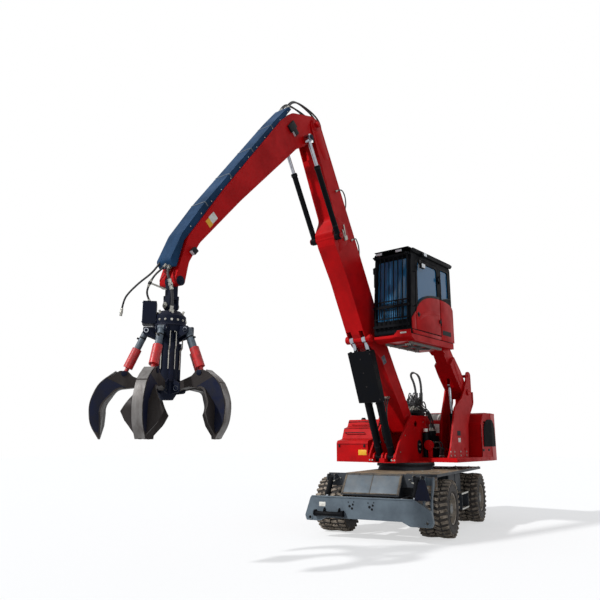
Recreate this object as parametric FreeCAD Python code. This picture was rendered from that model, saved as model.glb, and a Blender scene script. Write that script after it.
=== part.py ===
"""Wheeled material handler with a raised cab and a five-tine scrap grapple.

Lengths are millimetres. The origin is on the slewing axis at ground level, +X runs
forward along the boom, +Y to the machine's left (the cab's side) and +Z up.
The undercarriage is drawn in its own frame, square to its wheels, and is then turned
about the slewing axis by PARKED_SLEW, which is how the machine stands parked.
"""
import FreeCAD, Part
import math
import os

V = FreeCAD.Vector
X, Y, Z = V(1, 0, 0), V(0, 1, 0), V(0, 0, 1)

# ---- parked attitude ------------------------------------------------------------
PARKED_SLEW = 12.5            # undercarriage against upper structure, degrees

# ---- clearances -----------------------------------------------------------------
RUNNING = 0.05                # radial play of a pin or shaft in its bore
SIDE_GAP = 6.0                # side play between an eye and its ears
SEAT = 0.3                    # gap between bodies that bear on each other

# ---- wheels and axles -----------------------------------------------------------
FRONT_AXLE_X = 1350.0
REAR_AXLE_X = -1380.0
TYRE_D = 1070.0
TYRE_W = 275.0
TWIN_GAP = 30.0
TRACK_OUTER = 1325.0          # outer tyre face from the centre line
SHOULDER_R = 42.0
RIM_D = 556.0
RIM_WALL = 14.0
HUB_D = 330.0
SPINDLE_D = 140.0
KINGPIN_Y = 600.0
KINGPIN_D = 70.0
STEER_ARM = 250.0             # from kingpin back to the tie rod's stud
STUD_D = 32.0
BEAM_W = 200.0
BEAM_H = 220.0

# ---- chassis --------------------------------------------------------------------
CHASSIS_HALF_W = 400.0
CHASSIS_WALL = 20.0
CHASSIS_FRONT_X = 2010.0
CHASSIS_REAR_X = -1960.0
CHASSIS_BOTTOM_Z = 720.0
DECK_Z = 1180.0               # top face of the chassis deck
DECK_T = 30.0
DECK_HALF_W = 620.0
RING_D = 1240.0
RING_TOP_Z = 1336.0
FENDER_Y = 1235.0

# ---- blade ----------------------------------------------------------------------
BLADE_X = 2490.0              # front face
BLADE_HALF_W = 1240.0
BLADE_TOP_Z = 770.0
BLADE_BOTTOM_Z = 385.0
BLADE_FOOT_Z = 325.0
BLADE_T = 90.0
BLADE_PIVOT = (1950.0, 620.0)
BLADE_ARM_Y = 330.0
BLADE_CYL_Y = 860.0
BLADE_CYL_TOP = (2085.0, 1095.0)
BLADE_CYL_LOW = (2350.0, 700.0)

# ---- upper structure ------------------------------------------------------------
DECK_BOTTOM_Z = 1344.0
PLATFORM_T = 90.0
UPPER_HALF_W = 1218.0
TAIL_X = -2530.0
NOSE_X = 980.0                # front of the cheeks
CHEEK_OUT_Y = 335.0
CHEEK_T = 40.0
BOX_FRONT_X = 900.0
BOX_INNER_Y = 395.0
HOOD_TOP_Z = 2420.0

# ---- boom -----------------------------------------------------------------------
BOOM_FOOT = (106.0, 2151.0)
BOOM_PIN_D = 120.0
BOOM_LEN = 6680.0
BOOM_ANGLE = 60.0
BOOM_HALF_W = 215.0
BOOM_WALL = 16.0
LIFT_Y = 148.0
LIFT_BASE = (793.0, 1450.0)
LIFT_EYE = (2283.0, -557.0)   # along and across the boom's own axis
STICK_CYL_Y = 290.0
STICK_CYL_BASE = (BOOM_LEN - 2187.0, -563.0)

# ---- stick ----------------------------------------------------------------------
STICK_ANGLE = -49.8
STICK_LEN = 5038.0
STICK_HALF_W = 190.0
MID_STICK = STICK_LEN - 1838.0
STICK_WALL = 12.0
STICK_CYL_EYE = (556.0, -24.0)
STICK_PIN_D = 110.0

# ---- hanger, rotator and grapple --------------------------------------------------
HANGER_PIN_D = 70.0
LINK_LEN = 360.0
ROTATOR_DROP = 678.0          # from the tip's pin to the rotator's underside
BOX_TURN = -40.0
TINES = 5
TINES_TURN = -41.0            # where the first tine is parked about the grapple's axis
TINE_PIVOT_DROP = (215.0, 1568.0)  # radius from the grapple's axis, drop from the tip's pin
TINE_TOP_DROP = (330.0, 738.0)
TINE_LOW_DROP = (600.0, 1368.0)
TINE_CLOSE = 46.0             # swing from parked to closed, degrees
TINE_HALF_W = 75.0
COLUMN_D = 300.0

# ---- cab ------------------------------------------------------------------------
CAB_X = (-150.0, 1690.0)
CAB_Y = (350.0, 1210.0)
CAB_Z = (3860.0, 5590.0)
CAB_WALL = 45.0
ARM_PIVOT = (-1150.0, 2870.0)
ARM_END = (-310.0, 3790.0)
LINK_OFFSET = (-60.0, 380.0) # upper link's pins from the arm's pins
ARM_Y = 780.0
DOOR_HINGE = (422.0, 1228.0)
DOOR_HINGES_Z = (4210.0, 5140.0)
CAB_CYL_BASE = (-850.0, 1600.0)
CAB_CYL_EYE = (380.0, -202.0)  # along and across the arm


# ---- shape helpers --------------------------------------------------------------
def box(x, y, z):
    """A block from three (low, high) pairs."""
    return Part.makeBox(x[1] - x[0], y[1] - y[0], z[1] - z[0], V(x[0], y[0], z[0]))


def rod(start, axis, length, diameter):
    """A round bar from start along axis."""
    return Part.makeCylinder(diameter / 2, length, start, axis)


def cross_bar(x, z, half_len, diameter, y=0.0):
    """A round bar along Y, centred on y."""
    return rod(V(x, y - half_len, z), Y, 2 * half_len, diameter)


def outline(points):
    """A closed wire in the XZ plane; a third number on a point rounds that corner."""
    corners = [(V(p[0], 0, p[1]), p[2] if len(p) > 2 else 0.0) for p in points]
    starts, ends, arcs = [], [], []
    for i, (at, radius) in enumerate(corners):
        before = (corners[i - 1][0] - at).normalize()
        after = (corners[(i + 1) % len(corners)][0] - at).normalize()
        if radius <= 0 or (before + after).Length < 0.01:
            starts.append(at)
            ends.append(at)
            arcs.append(None)
            continue
        half = before.getAngle(after) / 2
        reach = radius / math.tan(half)
        middle = (before + after).normalize()
        centre = at + middle * (radius / math.sin(half))
        starts.append(at + before * reach)
        ends.append(at + after * reach)
        arcs.append(Part.Arc(starts[-1], centre - middle * radius, ends[-1]).toShape())
    edges = []
    for i in range(len(corners)):
        if arcs[i] is not None:
            edges.append(arcs[i])
        here, there = ends[i], starts[(i + 1) % len(corners)]
        if (there - here).Length > 1e-6:
            edges.append(Part.makeLine(here, there))
    return Part.Wire(edges)


def plate(points, y):
    """An XZ outline made solid between two y values."""
    face = Part.Face(outline(points))
    face.translate(V(0, y[0], 0))
    return face.extrude(V(0, y[1] - y[0], 0))


def mirrored(shape):
    """The same shape on the machine's other side."""
    return shape.mirror(V(0, 0, 0), Y)


def both_sides(shape):
    return [shape, mirrored(shape)]


def fuse(shapes):
    """One solid from pieces that overlap or touch."""
    whole = shapes[0].multiFuse(shapes[1:]) if len(shapes) > 1 else shapes[0]
    whole = whole.removeSplitter()
    return whole.Solids[0] if len(whole.Solids) == 1 else whole


def along(points, origin, angle):
    """Points given along and across a member, turned into the XZ plane."""
    c, s = math.cos(math.radians(angle)), math.sin(math.radians(angle))
    return [(origin[0] + p[0] * c - p[1] * s, origin[1] + p[0] * s + p[1] * c) + tuple(p[2:])
            for p in points]


def spot(along_across, origin, angle):
    return along([along_across], origin, angle)[0]


def turned(shape, angle, centre=V(0, 0, 0), axis=Z):
    copy = shape.copy()
    copy.rotate(centre, axis, angle)
    return copy


def strut(low, high, y, barrel_d, rod_d, barrel_share, eye_d, eye_w, pin_d, rod_eye_w, retract):
    """A cylinder between two pins in a plane of constant y: its barrel and its rod.

    The barrel's eye is bored for its pin. The rod's eye is solid and its ears leave it
    room, because that is where the closed linkage is opened. Retract is how far the rod
    still has to go in from where it is drawn.
    """
    a, b = V(low[0], y, low[1]), V(high[0], y, high[1])
    way = (b - a).normalize()
    length = (b - a).Length
    mouth = length * barrel_share
    barrel = fuse([
        rod(a + way * eye_d * 0.35, way, mouth - eye_d * 0.35, barrel_d),
        rod(a + way * (mouth - barrel_d * 0.55), way, barrel_d * 0.55, barrel_d * 1.16),
        cross_bar(a.x, a.z, eye_w / 2, eye_d, y),
    ])
    bore = rod(a + way * eye_d * 0.75, way, length, rod_d + 2 * RUNNING)
    barrel = barrel.cut(bore).cut(cross_bar(a.x, a.z, eye_w, pin_d + 2 * RUNNING, y))
    tail = eye_d * 0.75 + retract + 8
    stem = fuse([
        rod(a + way * tail, way, length - tail - eye_d * 0.3, rod_d),
        cross_bar(b.x, b.z, rod_eye_w / 2, eye_d, y),
    ])
    return barrel, stem


def ears(y, gap_w, ear_t, ear_points):
    """Two ears of one outline, each side of a gap centred on y."""
    pair = []
    for side in (-1, 1):
        inner = y + side * (gap_w / 2 + SIDE_GAP)
        pair.append(plate(ear_points, sorted((inner, inner + side * ear_t))))
    return pair


def eared_pin(at, y, gap_w, ear_t, ear_points, pin_d):
    """Two ears with their pin across."""
    pin = cross_bar(at[0], at[1], gap_w / 2 + SIDE_GAP + ear_t + 15, pin_d, y)
    return ears(y, gap_w, ear_t, ear_points) + [pin]


NODES = {}


def keep(name, shapes):
    """File a sub-part: one solid, or like solids that do not touch."""
    shapes = shapes if isinstance(shapes, list) else [shapes]
    solids = [solid for shape in shapes for solid in shape.Solids]
    NODES[name] = solids[0] if len(solids) == 1 else Part.makeCompound(solids)


def keep_under(name, shapes):
    """File a sub-part that was drawn square to the undercarriage."""
    shapes = shapes if isinstance(shapes, list) else [shapes]
    keep(name, [turned(shape, PARKED_SLEW) for shape in shapes])


# ---- undercarriage --------------------------------------------------------------
AXLE_Z = TYRE_D / 2
WHEEL_MID_Y = TRACK_OUTER - TYRE_W - TWIN_GAP / 2
HUB_FACE_Y = KINGPIN_Y + 95.0


def wheel(x, side):
    """Twin tyres, and the two rims with their hub, on one side of an axle."""
    tyres, rims = [], []
    for row in (0, 1):
        outer = TRACK_OUTER - row * (TYRE_W + TWIN_GAP)
        inner = outer - TYRE_W
        r_rim, r_out = RIM_D / 2, TYRE_D / 2
        profile = [(r_rim, inner + 22), (r_rim + 60, inner, 30), (r_out - 60, inner - 0.1, 60),
                   (r_out, inner + 28, SHOULDER_R), (r_out + 0.1, outer - 28, SHOULDER_R),
                   (r_out - 60, outer + 0.1, 60), (r_rim + 60, outer, 30), (r_rim, outer - 22)]
        face = Part.Face(outline(profile))
        face.rotate(V(0, 0, 0), X, 90)
        face = face.mirror(V(0, 0, 0), Y) if face.BoundBox.YMax < 0 else face
        tyre = face.revolve(V(0, 0, 0), Y, 360)
        tyres.append(tyre)
        barrel = rod(V(0, inner + 22, 0), Y, TYRE_W - 44, RIM_D).cut(
            rod(V(0, inner, 0), Y, TYRE_W, RIM_D - 2 * RIM_WALL))
        rims.append(barrel)
    outer_disc_y = TRACK_OUTER - 120.0
    inner_disc_y = TRACK_OUTER - TYRE_W - TWIN_GAP - 90.0
    rims.append(rod(V(0, outer_disc_y - 16, 0), Y, 16, RIM_D - 2 * RIM_WALL + 2))
    rims.append(rod(V(0, inner_disc_y - 16, 0), Y, 16, RIM_D - 2 * RIM_WALL + 2))
    rims.append(rod(V(0, HUB_FACE_Y + 25, 0), Y, outer_disc_y - HUB_FACE_Y - 20, HUB_D))
    rims.append(Part.makeCone(HUB_D / 2 - 20, 90, 70, V(0, outer_disc_y, 0), Y))
    hub = fuse(rims).cut(rod(V(0, 0, 0), Y, outer_disc_y - 120, SPINDLE_D + 2 * RUNNING))
    out = []
    for shape in (Part.makeCompound(tyres), hub):
        shape = shape if side > 0 else mirrored(shape)
        shape.translate(V(x, 0, AXLE_Z))
        out.append(shape)
    return out


SPINDLE_END_Y = TRACK_OUTER - 120.0 - 130.0


def knuckle():
    """Left steering knuckle: kingpin boss, spindle and arm, in the undercarriage's frame."""
    boss = rod(V(FRONT_AXLE_X, KINGPIN_Y, AXLE_Z - 85), Z, 170, 150)
    web = box((FRONT_AXLE_X - 90, FRONT_AXLE_X + 90), (KINGPIN_Y + 20, HUB_FACE_Y),
              (AXLE_Z - 85, AXLE_Z + 85))
    flange = rod(V(FRONT_AXLE_X, HUB_FACE_Y - 20, AXLE_Z), Y, 30, 240)
    spindle = rod(V(FRONT_AXLE_X, HUB_FACE_Y, AXLE_Z), Y, SPINDLE_END_Y - HUB_FACE_Y, SPINDLE_D)
    arm = plate([(FRONT_AXLE_X - 60, AXLE_Z - 85), (FRONT_AXLE_X - STEER_ARM - 30, AXLE_Z - 85),
                 (FRONT_AXLE_X - STEER_ARM - 30, AXLE_Z - 50), (FRONT_AXLE_X - 60, AXLE_Z - 20)],
                (KINGPIN_Y - 40, KINGPIN_Y + 40))
    bore = rod(V(FRONT_AXLE_X, KINGPIN_Y, AXLE_Z - 100), Z, 200, KINGPIN_D + 2 * RUNNING)
    stud_bore = rod(V(FRONT_AXLE_X - STEER_ARM, KINGPIN_Y, AXLE_Z - 100), Z, 100, STUD_D + 2 * RUNNING)
    return fuse([boss, web, flange, spindle, arm]).cut(bore).cut(stud_bore)


def front_axle():
    """Steering beam with a fork and kingpin at each end."""
    beam = box((FRONT_AXLE_X - BEAM_W / 2, FRONT_AXLE_X + BEAM_W / 2),
               (-KINGPIN_Y + 110, KINGPIN_Y - 110), (AXLE_Z - BEAM_H / 2, AXLE_Z + BEAM_H / 2))
    bulb = rod(V(FRONT_AXLE_X, 0, AXLE_Z - 150), Z, 300, 360)
    parts = [beam, bulb]
    for side in (-1, 1):
        y = (KINGPIN_Y - 130) * side, (KINGPIN_Y + 40) * side
        for low in (AXLE_Z - 125, AXLE_Z + 85 + 5):
            parts.append(box((FRONT_AXLE_X - 70, FRONT_AXLE_X + 70), (min(y), max(y)), (low, low + 35)))
        parts.append(rod(V(FRONT_AXLE_X, KINGPIN_Y * side, AXLE_Z - 125), Z, 250, KINGPIN_D))
    return parts


def rear_axle():
    """Fixed drive axle with its spindles and the drop gearbox in front of it."""
    beam = rod(V(REAR_AXLE_X, -HUB_FACE_Y + 20, AXLE_Z), Y, 2 * HUB_FACE_Y - 40, 210)
    spindle = rod(V(REAR_AXLE_X, -SPINDLE_END_Y, AXLE_Z), Y, 2 * SPINDLE_END_Y, SPINDLE_D)
    flanges = [rod(V(REAR_AXLE_X, s * HUB_FACE_Y - 15, AXLE_Z), Y, 30, 240) for s in (-1, 1)]
    bulb = rod(V(REAR_AXLE_X, 0, AXLE_Z - 160), Z, 320, 380)
    gearbox = box((REAR_AXLE_X + 180, REAR_AXLE_X + 480), (-140, 140), (AXLE_Z - 120, AXLE_Z + 180))
    return [beam, spindle, bulb, gearbox] + flanges


def axles():
    """Both axles joined by the drive shaft and stood off the chassis on their saddles."""
    shaft_from = REAR_AXLE_X + 470
    shaft = rod(V(shaft_from, 0, AXLE_Z), X, FRONT_AXLE_X - 150 - shaft_from, 90)
    joints = [rod(V(x, 0, AXLE_Z), X, 110, 150) for x in (shaft_from, FRONT_AXLE_X - 280)]
    saddles = [box((x - 110, x + 110), (-260, 260), (AXLE_Z + 60, CHASSIS_BOTTOM_Z))
               for x in (FRONT_AXLE_X, REAR_AXLE_X)]
    keep_under("axles_and_drive_shaft", fuse(front_axle() + rear_axle() + [shaft] + joints + saddles))


def wheels_and_steering():
    for end, x in (("front", FRONT_AXLE_X), ("rear", REAR_AXLE_X)):
        for name, side in (("left", 1), ("right", -1)):
            tyres, rims = wheel(x, side)
            keep_under("tyres_%s_%s" % (end, name), tyres)
            keep_under("rims_%s_%s" % (end, name), rims)
    left = knuckle()
    keep_under("steering_knuckle_left", left)
    keep_under("steering_knuckle_right", mirrored(left))
    ball_x, bar_z = FRONT_AXLE_X - STEER_ARM, AXLE_Z - 85 - SIDE_GAP - 25
    bar = rod(V(ball_x, -KINGPIN_Y, bar_z), Y, 2 * KINGPIN_Y, 44)
    ends = [rod(V(ball_x, s * KINGPIN_Y, bar_z - 28), Z, 56, 76) for s in (-1, 1)]
    studs = [rod(V(ball_x, s * KINGPIN_Y, bar_z), Z, 100, STUD_D) for s in (-1, 1)]
    keep_under("tie_rod", fuse([bar] + ends + studs))


def chassis():
    """Hollow box beam with its deck and the turntable's tub and lower ring."""
    half, low, high = CHASSIS_HALF_W, CHASSIS_BOTTOM_Z, DECK_Z - DECK_T
    side = [(CHASSIS_REAR_X, low + 80, 40), (CHASSIS_REAR_X + 120, low, 60),
            (CHASSIS_FRONT_X, low), (CHASSIS_FRONT_X, high), (CHASSIS_REAR_X, high)]
    beam = plate(side, (-half, half))
    inner = [(CHASSIS_REAR_X + 20, low + 90), (CHASSIS_REAR_X + 130, low + CHASSIS_WALL),
             (CHASSIS_FRONT_X - CHASSIS_WALL, low + CHASSIS_WALL), (CHASSIS_FRONT_X - CHASSIS_WALL, high - 5),
             (CHASSIS_REAR_X + 20, high - 5)]
    beam = beam.cut(plate(inner, (-half + CHASSIS_WALL, half - CHASSIS_WALL)))
    deck = box((CHASSIS_REAR_X, CHASSIS_FRONT_X), (-DECK_HALF_W, DECK_HALF_W), (high, DECK_Z))
    bulkhead = box((CHASSIS_FRONT_X - 40, CHASSIS_FRONT_X), (-BLADE_CYL_Y - 90, BLADE_CYL_Y + 90),
                   (DECK_Z - 240, DECK_Z))
    tub = Part.makeCone(RING_D / 2 - 10, RING_D / 2 - 40, RING_TOP_Z - 76 - DECK_Z, V(0, 0, DECK_Z), Z)
    ring = rod(V(0, 0, RING_TOP_Z - 76), Z, 76, RING_D)
    parts = [beam, deck, bulkhead, tub, ring]
    for side_y in (-1, 1):
        ear = [(CHASSIS_FRONT_X - 150, BLADE_PIVOT[1] + 130), (CHASSIS_FRONT_X - 150, BLADE_PIVOT[1] - 60, 50),
               (BLADE_PIVOT[0] + 70, BLADE_PIVOT[1] - 70, 60), (BLADE_PIVOT[0] + 70, BLADE_PIVOT[1] + 130, 20)]
        parts += eared_pin(BLADE_PIVOT, side_y * BLADE_ARM_Y, 60, 25, ear, 60)
        top = [(CHASSIS_FRONT_X - 30, DECK_Z - 20), (CHASSIS_FRONT_X - 30, BLADE_CYL_TOP[1] - 60),
               (BLADE_CYL_TOP[0] + 45, BLADE_CYL_TOP[1] - 60, 25), (BLADE_CYL_TOP[0] + 45, DECK_Z - 20, 30)]
        parts += eared_pin(BLADE_CYL_TOP, side_y * BLADE_CYL_Y, 110, 22, top, 50)
    rear_plate = box((CHASSIS_REAR_X - 40, CHASSIS_REAR_X + 5), (-DECK_HALF_W, DECK_HALF_W), (860, DECK_Z))
    tow = [box((CHASSIS_REAR_X - 180, CHASSIS_REAR_X - 30), (-110, 110), (z, z + 30)) for z in (900, 1070)]
    frame = fuse(parts + [rear_plate] + tow)
    pin_hole = rod(V(CHASSIS_REAR_X - 115, 0, 880), Z, 240, 42)
    keep_under("chassis_frame", frame.cut(pin_hole))


def undercarriage_covers():
    """Sloped front cover, the left fender with its front plate, and the step box."""
    slope = [(CHASSIS_FRONT_X + SEAT, DECK_Z - 12), (CHASSIS_FRONT_X + 30, DECK_Z - 12),
             (BLADE_X - 165, BLADE_TOP_Z + 45), (BLADE_X - 165, BLADE_TOP_Z + 25),
             (BLADE_X - 180, BLADE_TOP_Z + 25), (CHASSIS_FRONT_X + SEAT, DECK_Z - 60)]
    cover = plate(slope, (-570, 570))
    fender = fuse([box((-1900, CHASSIS_FRONT_X - 45), (DECK_HALF_W + SEAT, FENDER_Y), (DECK_Z - 40, DECK_Z + 12)),
                   box((CHASSIS_FRONT_X - 60, CHASSIS_FRONT_X + 70), (975, FENDER_Y), (DECK_Z - 40, DECK_Z + 12))])
    front = box((CHASSIS_FRONT_X + 50, CHASSIS_FRONT_X + 70), (1035, FENDER_Y), (900, DECK_Z - 40))
    steps = [box((-560, 520), (CHASSIS_HALF_W + 110, FENDER_Y - 190), (400, DECK_Z - 40)).cut(
        box((-545, 505), (CHASSIS_HALF_W + 125, FENDER_Y - 205), (415, DECK_Z - 55)))]
    for z in (400, 700):
        steps.append(box((-440, 180), (FENDER_Y - 190, FENDER_Y), (z, z + 25)))
    for x in (-440, 160):
        steps.append(box((x, x + 20), (FENDER_Y - 190, FENDER_Y), (400, 725)))
    locker = box((-560, 520), (-FENDER_Y + 190, -CHASSIS_HALF_W - SEAT), (520, 1080)).cut(
        box((-545, 505), (-FENDER_Y + 205, -CHASSIS_HALF_W - 15), (535, 1065)))
    keep_under("undercarriage_covers", [cover, fuse([fender, front] + steps), locker])


def blade():
    """Front blade with lower feet, its arms, the left end plate and the cylinder ears."""
    t = BLADE_T
    w, foot = BLADE_HALF_W, 420
    front = [(-w + 30, BLADE_FOOT_Z, 25), (-w, BLADE_FOOT_Z + 90, 40), (-w + 120, BLADE_TOP_Z, 60),
             (w - 340, BLADE_TOP_Z, 30), (w - 30, BLADE_TOP_Z - 190, 60), (w, BLADE_FOOT_Z + 60, 40),
             (w - 30, BLADE_FOOT_Z - 15, 25), (w - foot, BLADE_FOOT_Z - 15, 30),
             (w - foot - 150, BLADE_BOTTOM_Z, 30), (-w + foot, BLADE_BOTTOM_Z, 30),
             (-w + foot - 120, BLADE_FOOT_Z, 30)]
    panel = turned(plate(front, (0, t)), 90)
    panel.translate(V(BLADE_X, 0, 0))
    parts = [panel]
    rib_x = (BLADE_X - t - 50, BLADE_X - t + 5)
    for z, reach in ((BLADE_BOTTOM_Z + 10, w - 250), (BLADE_TOP_Z - 60, BLADE_CYL_Y - 70)):
        parts.append(box(rib_x, (-reach, reach), (z, z + 50)))
    for side in (-1, 1):
        y = side * BLADE_ARM_Y
        arm = [(BLADE_PIVOT[0] - 45, BLADE_PIVOT[1] - 45, 45), (BLADE_X - t, BLADE_BOTTOM_Z + 20),
               (BLADE_X - t, BLADE_TOP_Z - 40), (BLADE_PIVOT[0] - 45, BLADE_PIVOT[1] + 45, 45)]
        eye = plate(arm, (y - 30, y + 30))
        parts.append(eye.cut(cross_bar(BLADE_PIVOT[0], BLADE_PIVOT[1], 60, 60 + 2 * RUNNING, y)))
        lug = [(BLADE_X - t + 5, BLADE_CYL_LOW[1] - 90), (BLADE_CYL_LOW[0] - 45, BLADE_CYL_LOW[1] - 45, 40),
               (BLADE_CYL_LOW[0] - 45, BLADE_CYL_LOW[1] + 45, 40), (BLADE_X - t + 5, BLADE_CYL_LOW[1] + 60)]
        for s in (-1, 1):
            inner = side * BLADE_CYL_Y + s * (30 + SIDE_GAP)
            parts.append(plate(lug, (min(inner, inner + s * 22), max(inner, inner + s * 22))))
    end = [(BLADE_X - t + 10, BLADE_FOOT_Z + 20), (BLADE_X - t - 35, BLADE_FOOT_Z + 20, 15),
           (BLADE_X - t - 90, 800), (BLADE_X - 330, 1000, 40), (BLADE_X - 330, 1150, 25),
           (BLADE_X - 270, 1150, 25), (BLADE_X - t + 20, BLADE_TOP_Z - 60)]
    parts.append(plate(end, (w - 200, w - 175)))
    parts.append(plate(end, (w - 60, w - 35)))
    parts.append(box((BLADE_X - 325, BLADE_X - 290), (w - 180, w - 55), (1000, 1140)))
    body = fuse(parts)
    for side in (-1, 1):
        body = body.cut(rod(V(BLADE_X - 2 * t, side * (w - 110), BLADE_FOOT_Z + 55), X, 3 * t, 50))
    keep_under("blade", body)
    barrels, rods = [], []
    for side in (-1, 1):
        barrel, stem = strut(BLADE_CYL_TOP, BLADE_CYL_LOW, side * BLADE_CYL_Y, 100, 55, 0.78, 80, 110, 50, 60, 36)
        barrels.append(barrel)
        rods.append(stem)
    keep_under("blade_cylinder_barrels", barrels)
    keep_under("blade_cylinder_rods", rods)


# ---- upper structure ------------------------------------------------------------
PLATFORM_TOP_Z = DECK_BOTTOM_Z + PLATFORM_T


def upper_frame():
    """Platform with the boom's cheeks, the lift cylinders' ears and the upper slew ring."""
    w = UPPER_HALF_W
    platform = box((-1900, BOX_FRONT_X), (-w, CHEEK_OUT_Y), (DECK_BOTTOM_Z, PLATFORM_TOP_Z))
    left = box((-1900, -20), (CHEEK_OUT_Y, w), (DECK_BOTTOM_Z, PLATFORM_TOP_Z))
    cheek = [(NOSE_X, PLATFORM_TOP_Z - 60), (NOSE_X, 1480, 90), (800, 1760, 120), (420, 2190, 120),
             (250, 2330, 150), (-120, 2330, 160), (-480, 2050, 200), (-735, 1650, 60), (-735, PLATFORM_TOP_Z - 60)]
    parts = [platform, left]
    for side in (-1, 1):
        y = sorted((side * CHEEK_OUT_Y, side * (CHEEK_OUT_Y - CHEEK_T)))
        parts.append(plate(cheek, y))
    parts.append(box((NOSE_X - 120, NOSE_X), (-CHEEK_OUT_Y, CHEEK_OUT_Y), (DECK_BOTTOM_Z, PLATFORM_TOP_Z)))
    ear = [(LIFT_BASE[0] - 190, PLATFORM_TOP_Z - 20), (LIFT_BASE[0] - 80, LIFT_BASE[1] + 60, 50),
           (LIFT_BASE[0] - 40, LIFT_BASE[1] + 95, 60), (LIFT_BASE[0] + 95, LIFT_BASE[1] + 95, 85),
           (LIFT_BASE[0] + 130, PLATFORM_TOP_Z - 20)]
    for side in (-1, 1):
        parts += eared_pin(LIFT_BASE, side * LIFT_Y, 160, 36, ear, 90)
    parts.append(cross_bar(BOOM_FOOT[0], BOOM_FOOT[1], CHEEK_OUT_Y + 5, BOOM_PIN_D))
    parts.append(cross_bar(-500, 1680, CHEEK_OUT_Y, 140))
    parts.append(rod(V(0, 0, RING_TOP_Z + SEAT), Z, DECK_BOTTOM_Z - RING_TOP_Z - SEAT + 20, RING_D - 120))
    frame = fuse(parts)
    for side in (-1, 1):
        frame = frame.cut(box((LIFT_BASE[0] - 105, NOSE_X + 10), sorted((side * (LIFT_Y - 86), side * (LIFT_Y + 86))),
                              (DECK_BOTTOM_Z + 12, PLATFORM_TOP_Z + 5)))
    keep("upper_frame", frame)


def counterweight():
    """Cast tail block with its rounded back and top edges."""
    w, front = UPPER_HALF_W, -1900 - SEAT
    side = [(front, DECK_BOTTOM_Z, 20), (TAIL_X, DECK_BOTTOM_Z, 60), (TAIL_X, HOOD_TOP_Z, 190),
            (front, HOOD_TOP_Z)]
    block = plate(side, (-w, w))
    plan = [(front, -w), (TAIL_X, -w + 110, 330), (TAIL_X, w - 110, 330), (front, w)]
    from_above = turned(plate(plan, (0, HOOD_TOP_Z + 100)), 90, axis=X)
    keep("counterweight", block.common(from_above))


def hood_profile(front, inset):
    """Side outline of the hood up to a front wall; inset draws the space inside."""
    back, low, top = -1900 + SEAT, PLATFORM_TOP_Z, HOOD_TOP_Z
    floor = low - 10 if inset else low
    return [(back + inset, floor), (back + inset, top - inset), (front - 160 - inset, top - inset, 120),
            (front - inset, top - 260 - inset / 4, 140), (front - inset, floor)]


def engine_hood():
    """Hollow engine housing, shorter beside the cab's tower, with its grilles cut through."""
    w, t = UPPER_HALF_W - 8, 40
    back, short, long = -1900 + SEAT, -1345, -760
    shell = fuse([plate(hood_profile(long, 0), (-w, 495)), plate(hood_profile(short, 0), (400, w))])
    hollow = fuse([plate(hood_profile(long, t), (-w + t, 495 - t)), plate(hood_profile(short, t), (400, w - t))])
    slots = [box((back + 120, back + 430), (-w - 10, w + 10), (1760 + i * 62, 1790 + i * 62)) for i in range(8)]
    shell = shell.cut(hollow).cut(Part.makeCompound(slots))
    stack = rod(V(-1350, -520, HOOD_TOP_Z - 5), Z, 210, 130)
    keep("engine_hood", fuse([shell, stack]))


def side_box():
    """Right-hand tank: low front panel and two sloped tiers."""
    y = (-UPPER_HALF_W, -BOX_INNER_Y)
    z0 = PLATFORM_TOP_Z + SEAT
    lower = [(-740, z0), (-740, 2260, 40), (395, 2260, 50), (470, 2100, 40), (600, 2060, 30),
             (690, 1830, 40), (870, 1790, 30), (BOX_FRONT_X, 1740, 20), (BOX_FRONT_X, z0)]
    tank = plate(lower, y)
    space = [(-725, z0 + 15), (-725, 2245), (380, 2245), (455, 2085), (540, 2050), (540, z0 + 15)]
    keep("side_tank", tank.cut(plate(space, (y[0] + 15, y[1] - 15))))


def power_pack():
    """Engine block inside the hood, and the pump and valve block in the open bay."""
    engine = box((-1780, -960), (-420, 420), (PLATFORM_TOP_Z + SEAT, 2150))
    valve = box((-640, -330), (350, 515), (PLATFORM_TOP_Z + SEAT, 1900))
    spools = [rod(V(-610 + i * 62, 430, 1890), Z, 120, 46) for i in range(5)]
    canister = rod(V(-180, 430, PLATFORM_TOP_Z + SEAT), Z, 540, 140)
    keep("engine_and_valve_block", [engine, fuse([valve] + spools), canister])


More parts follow.
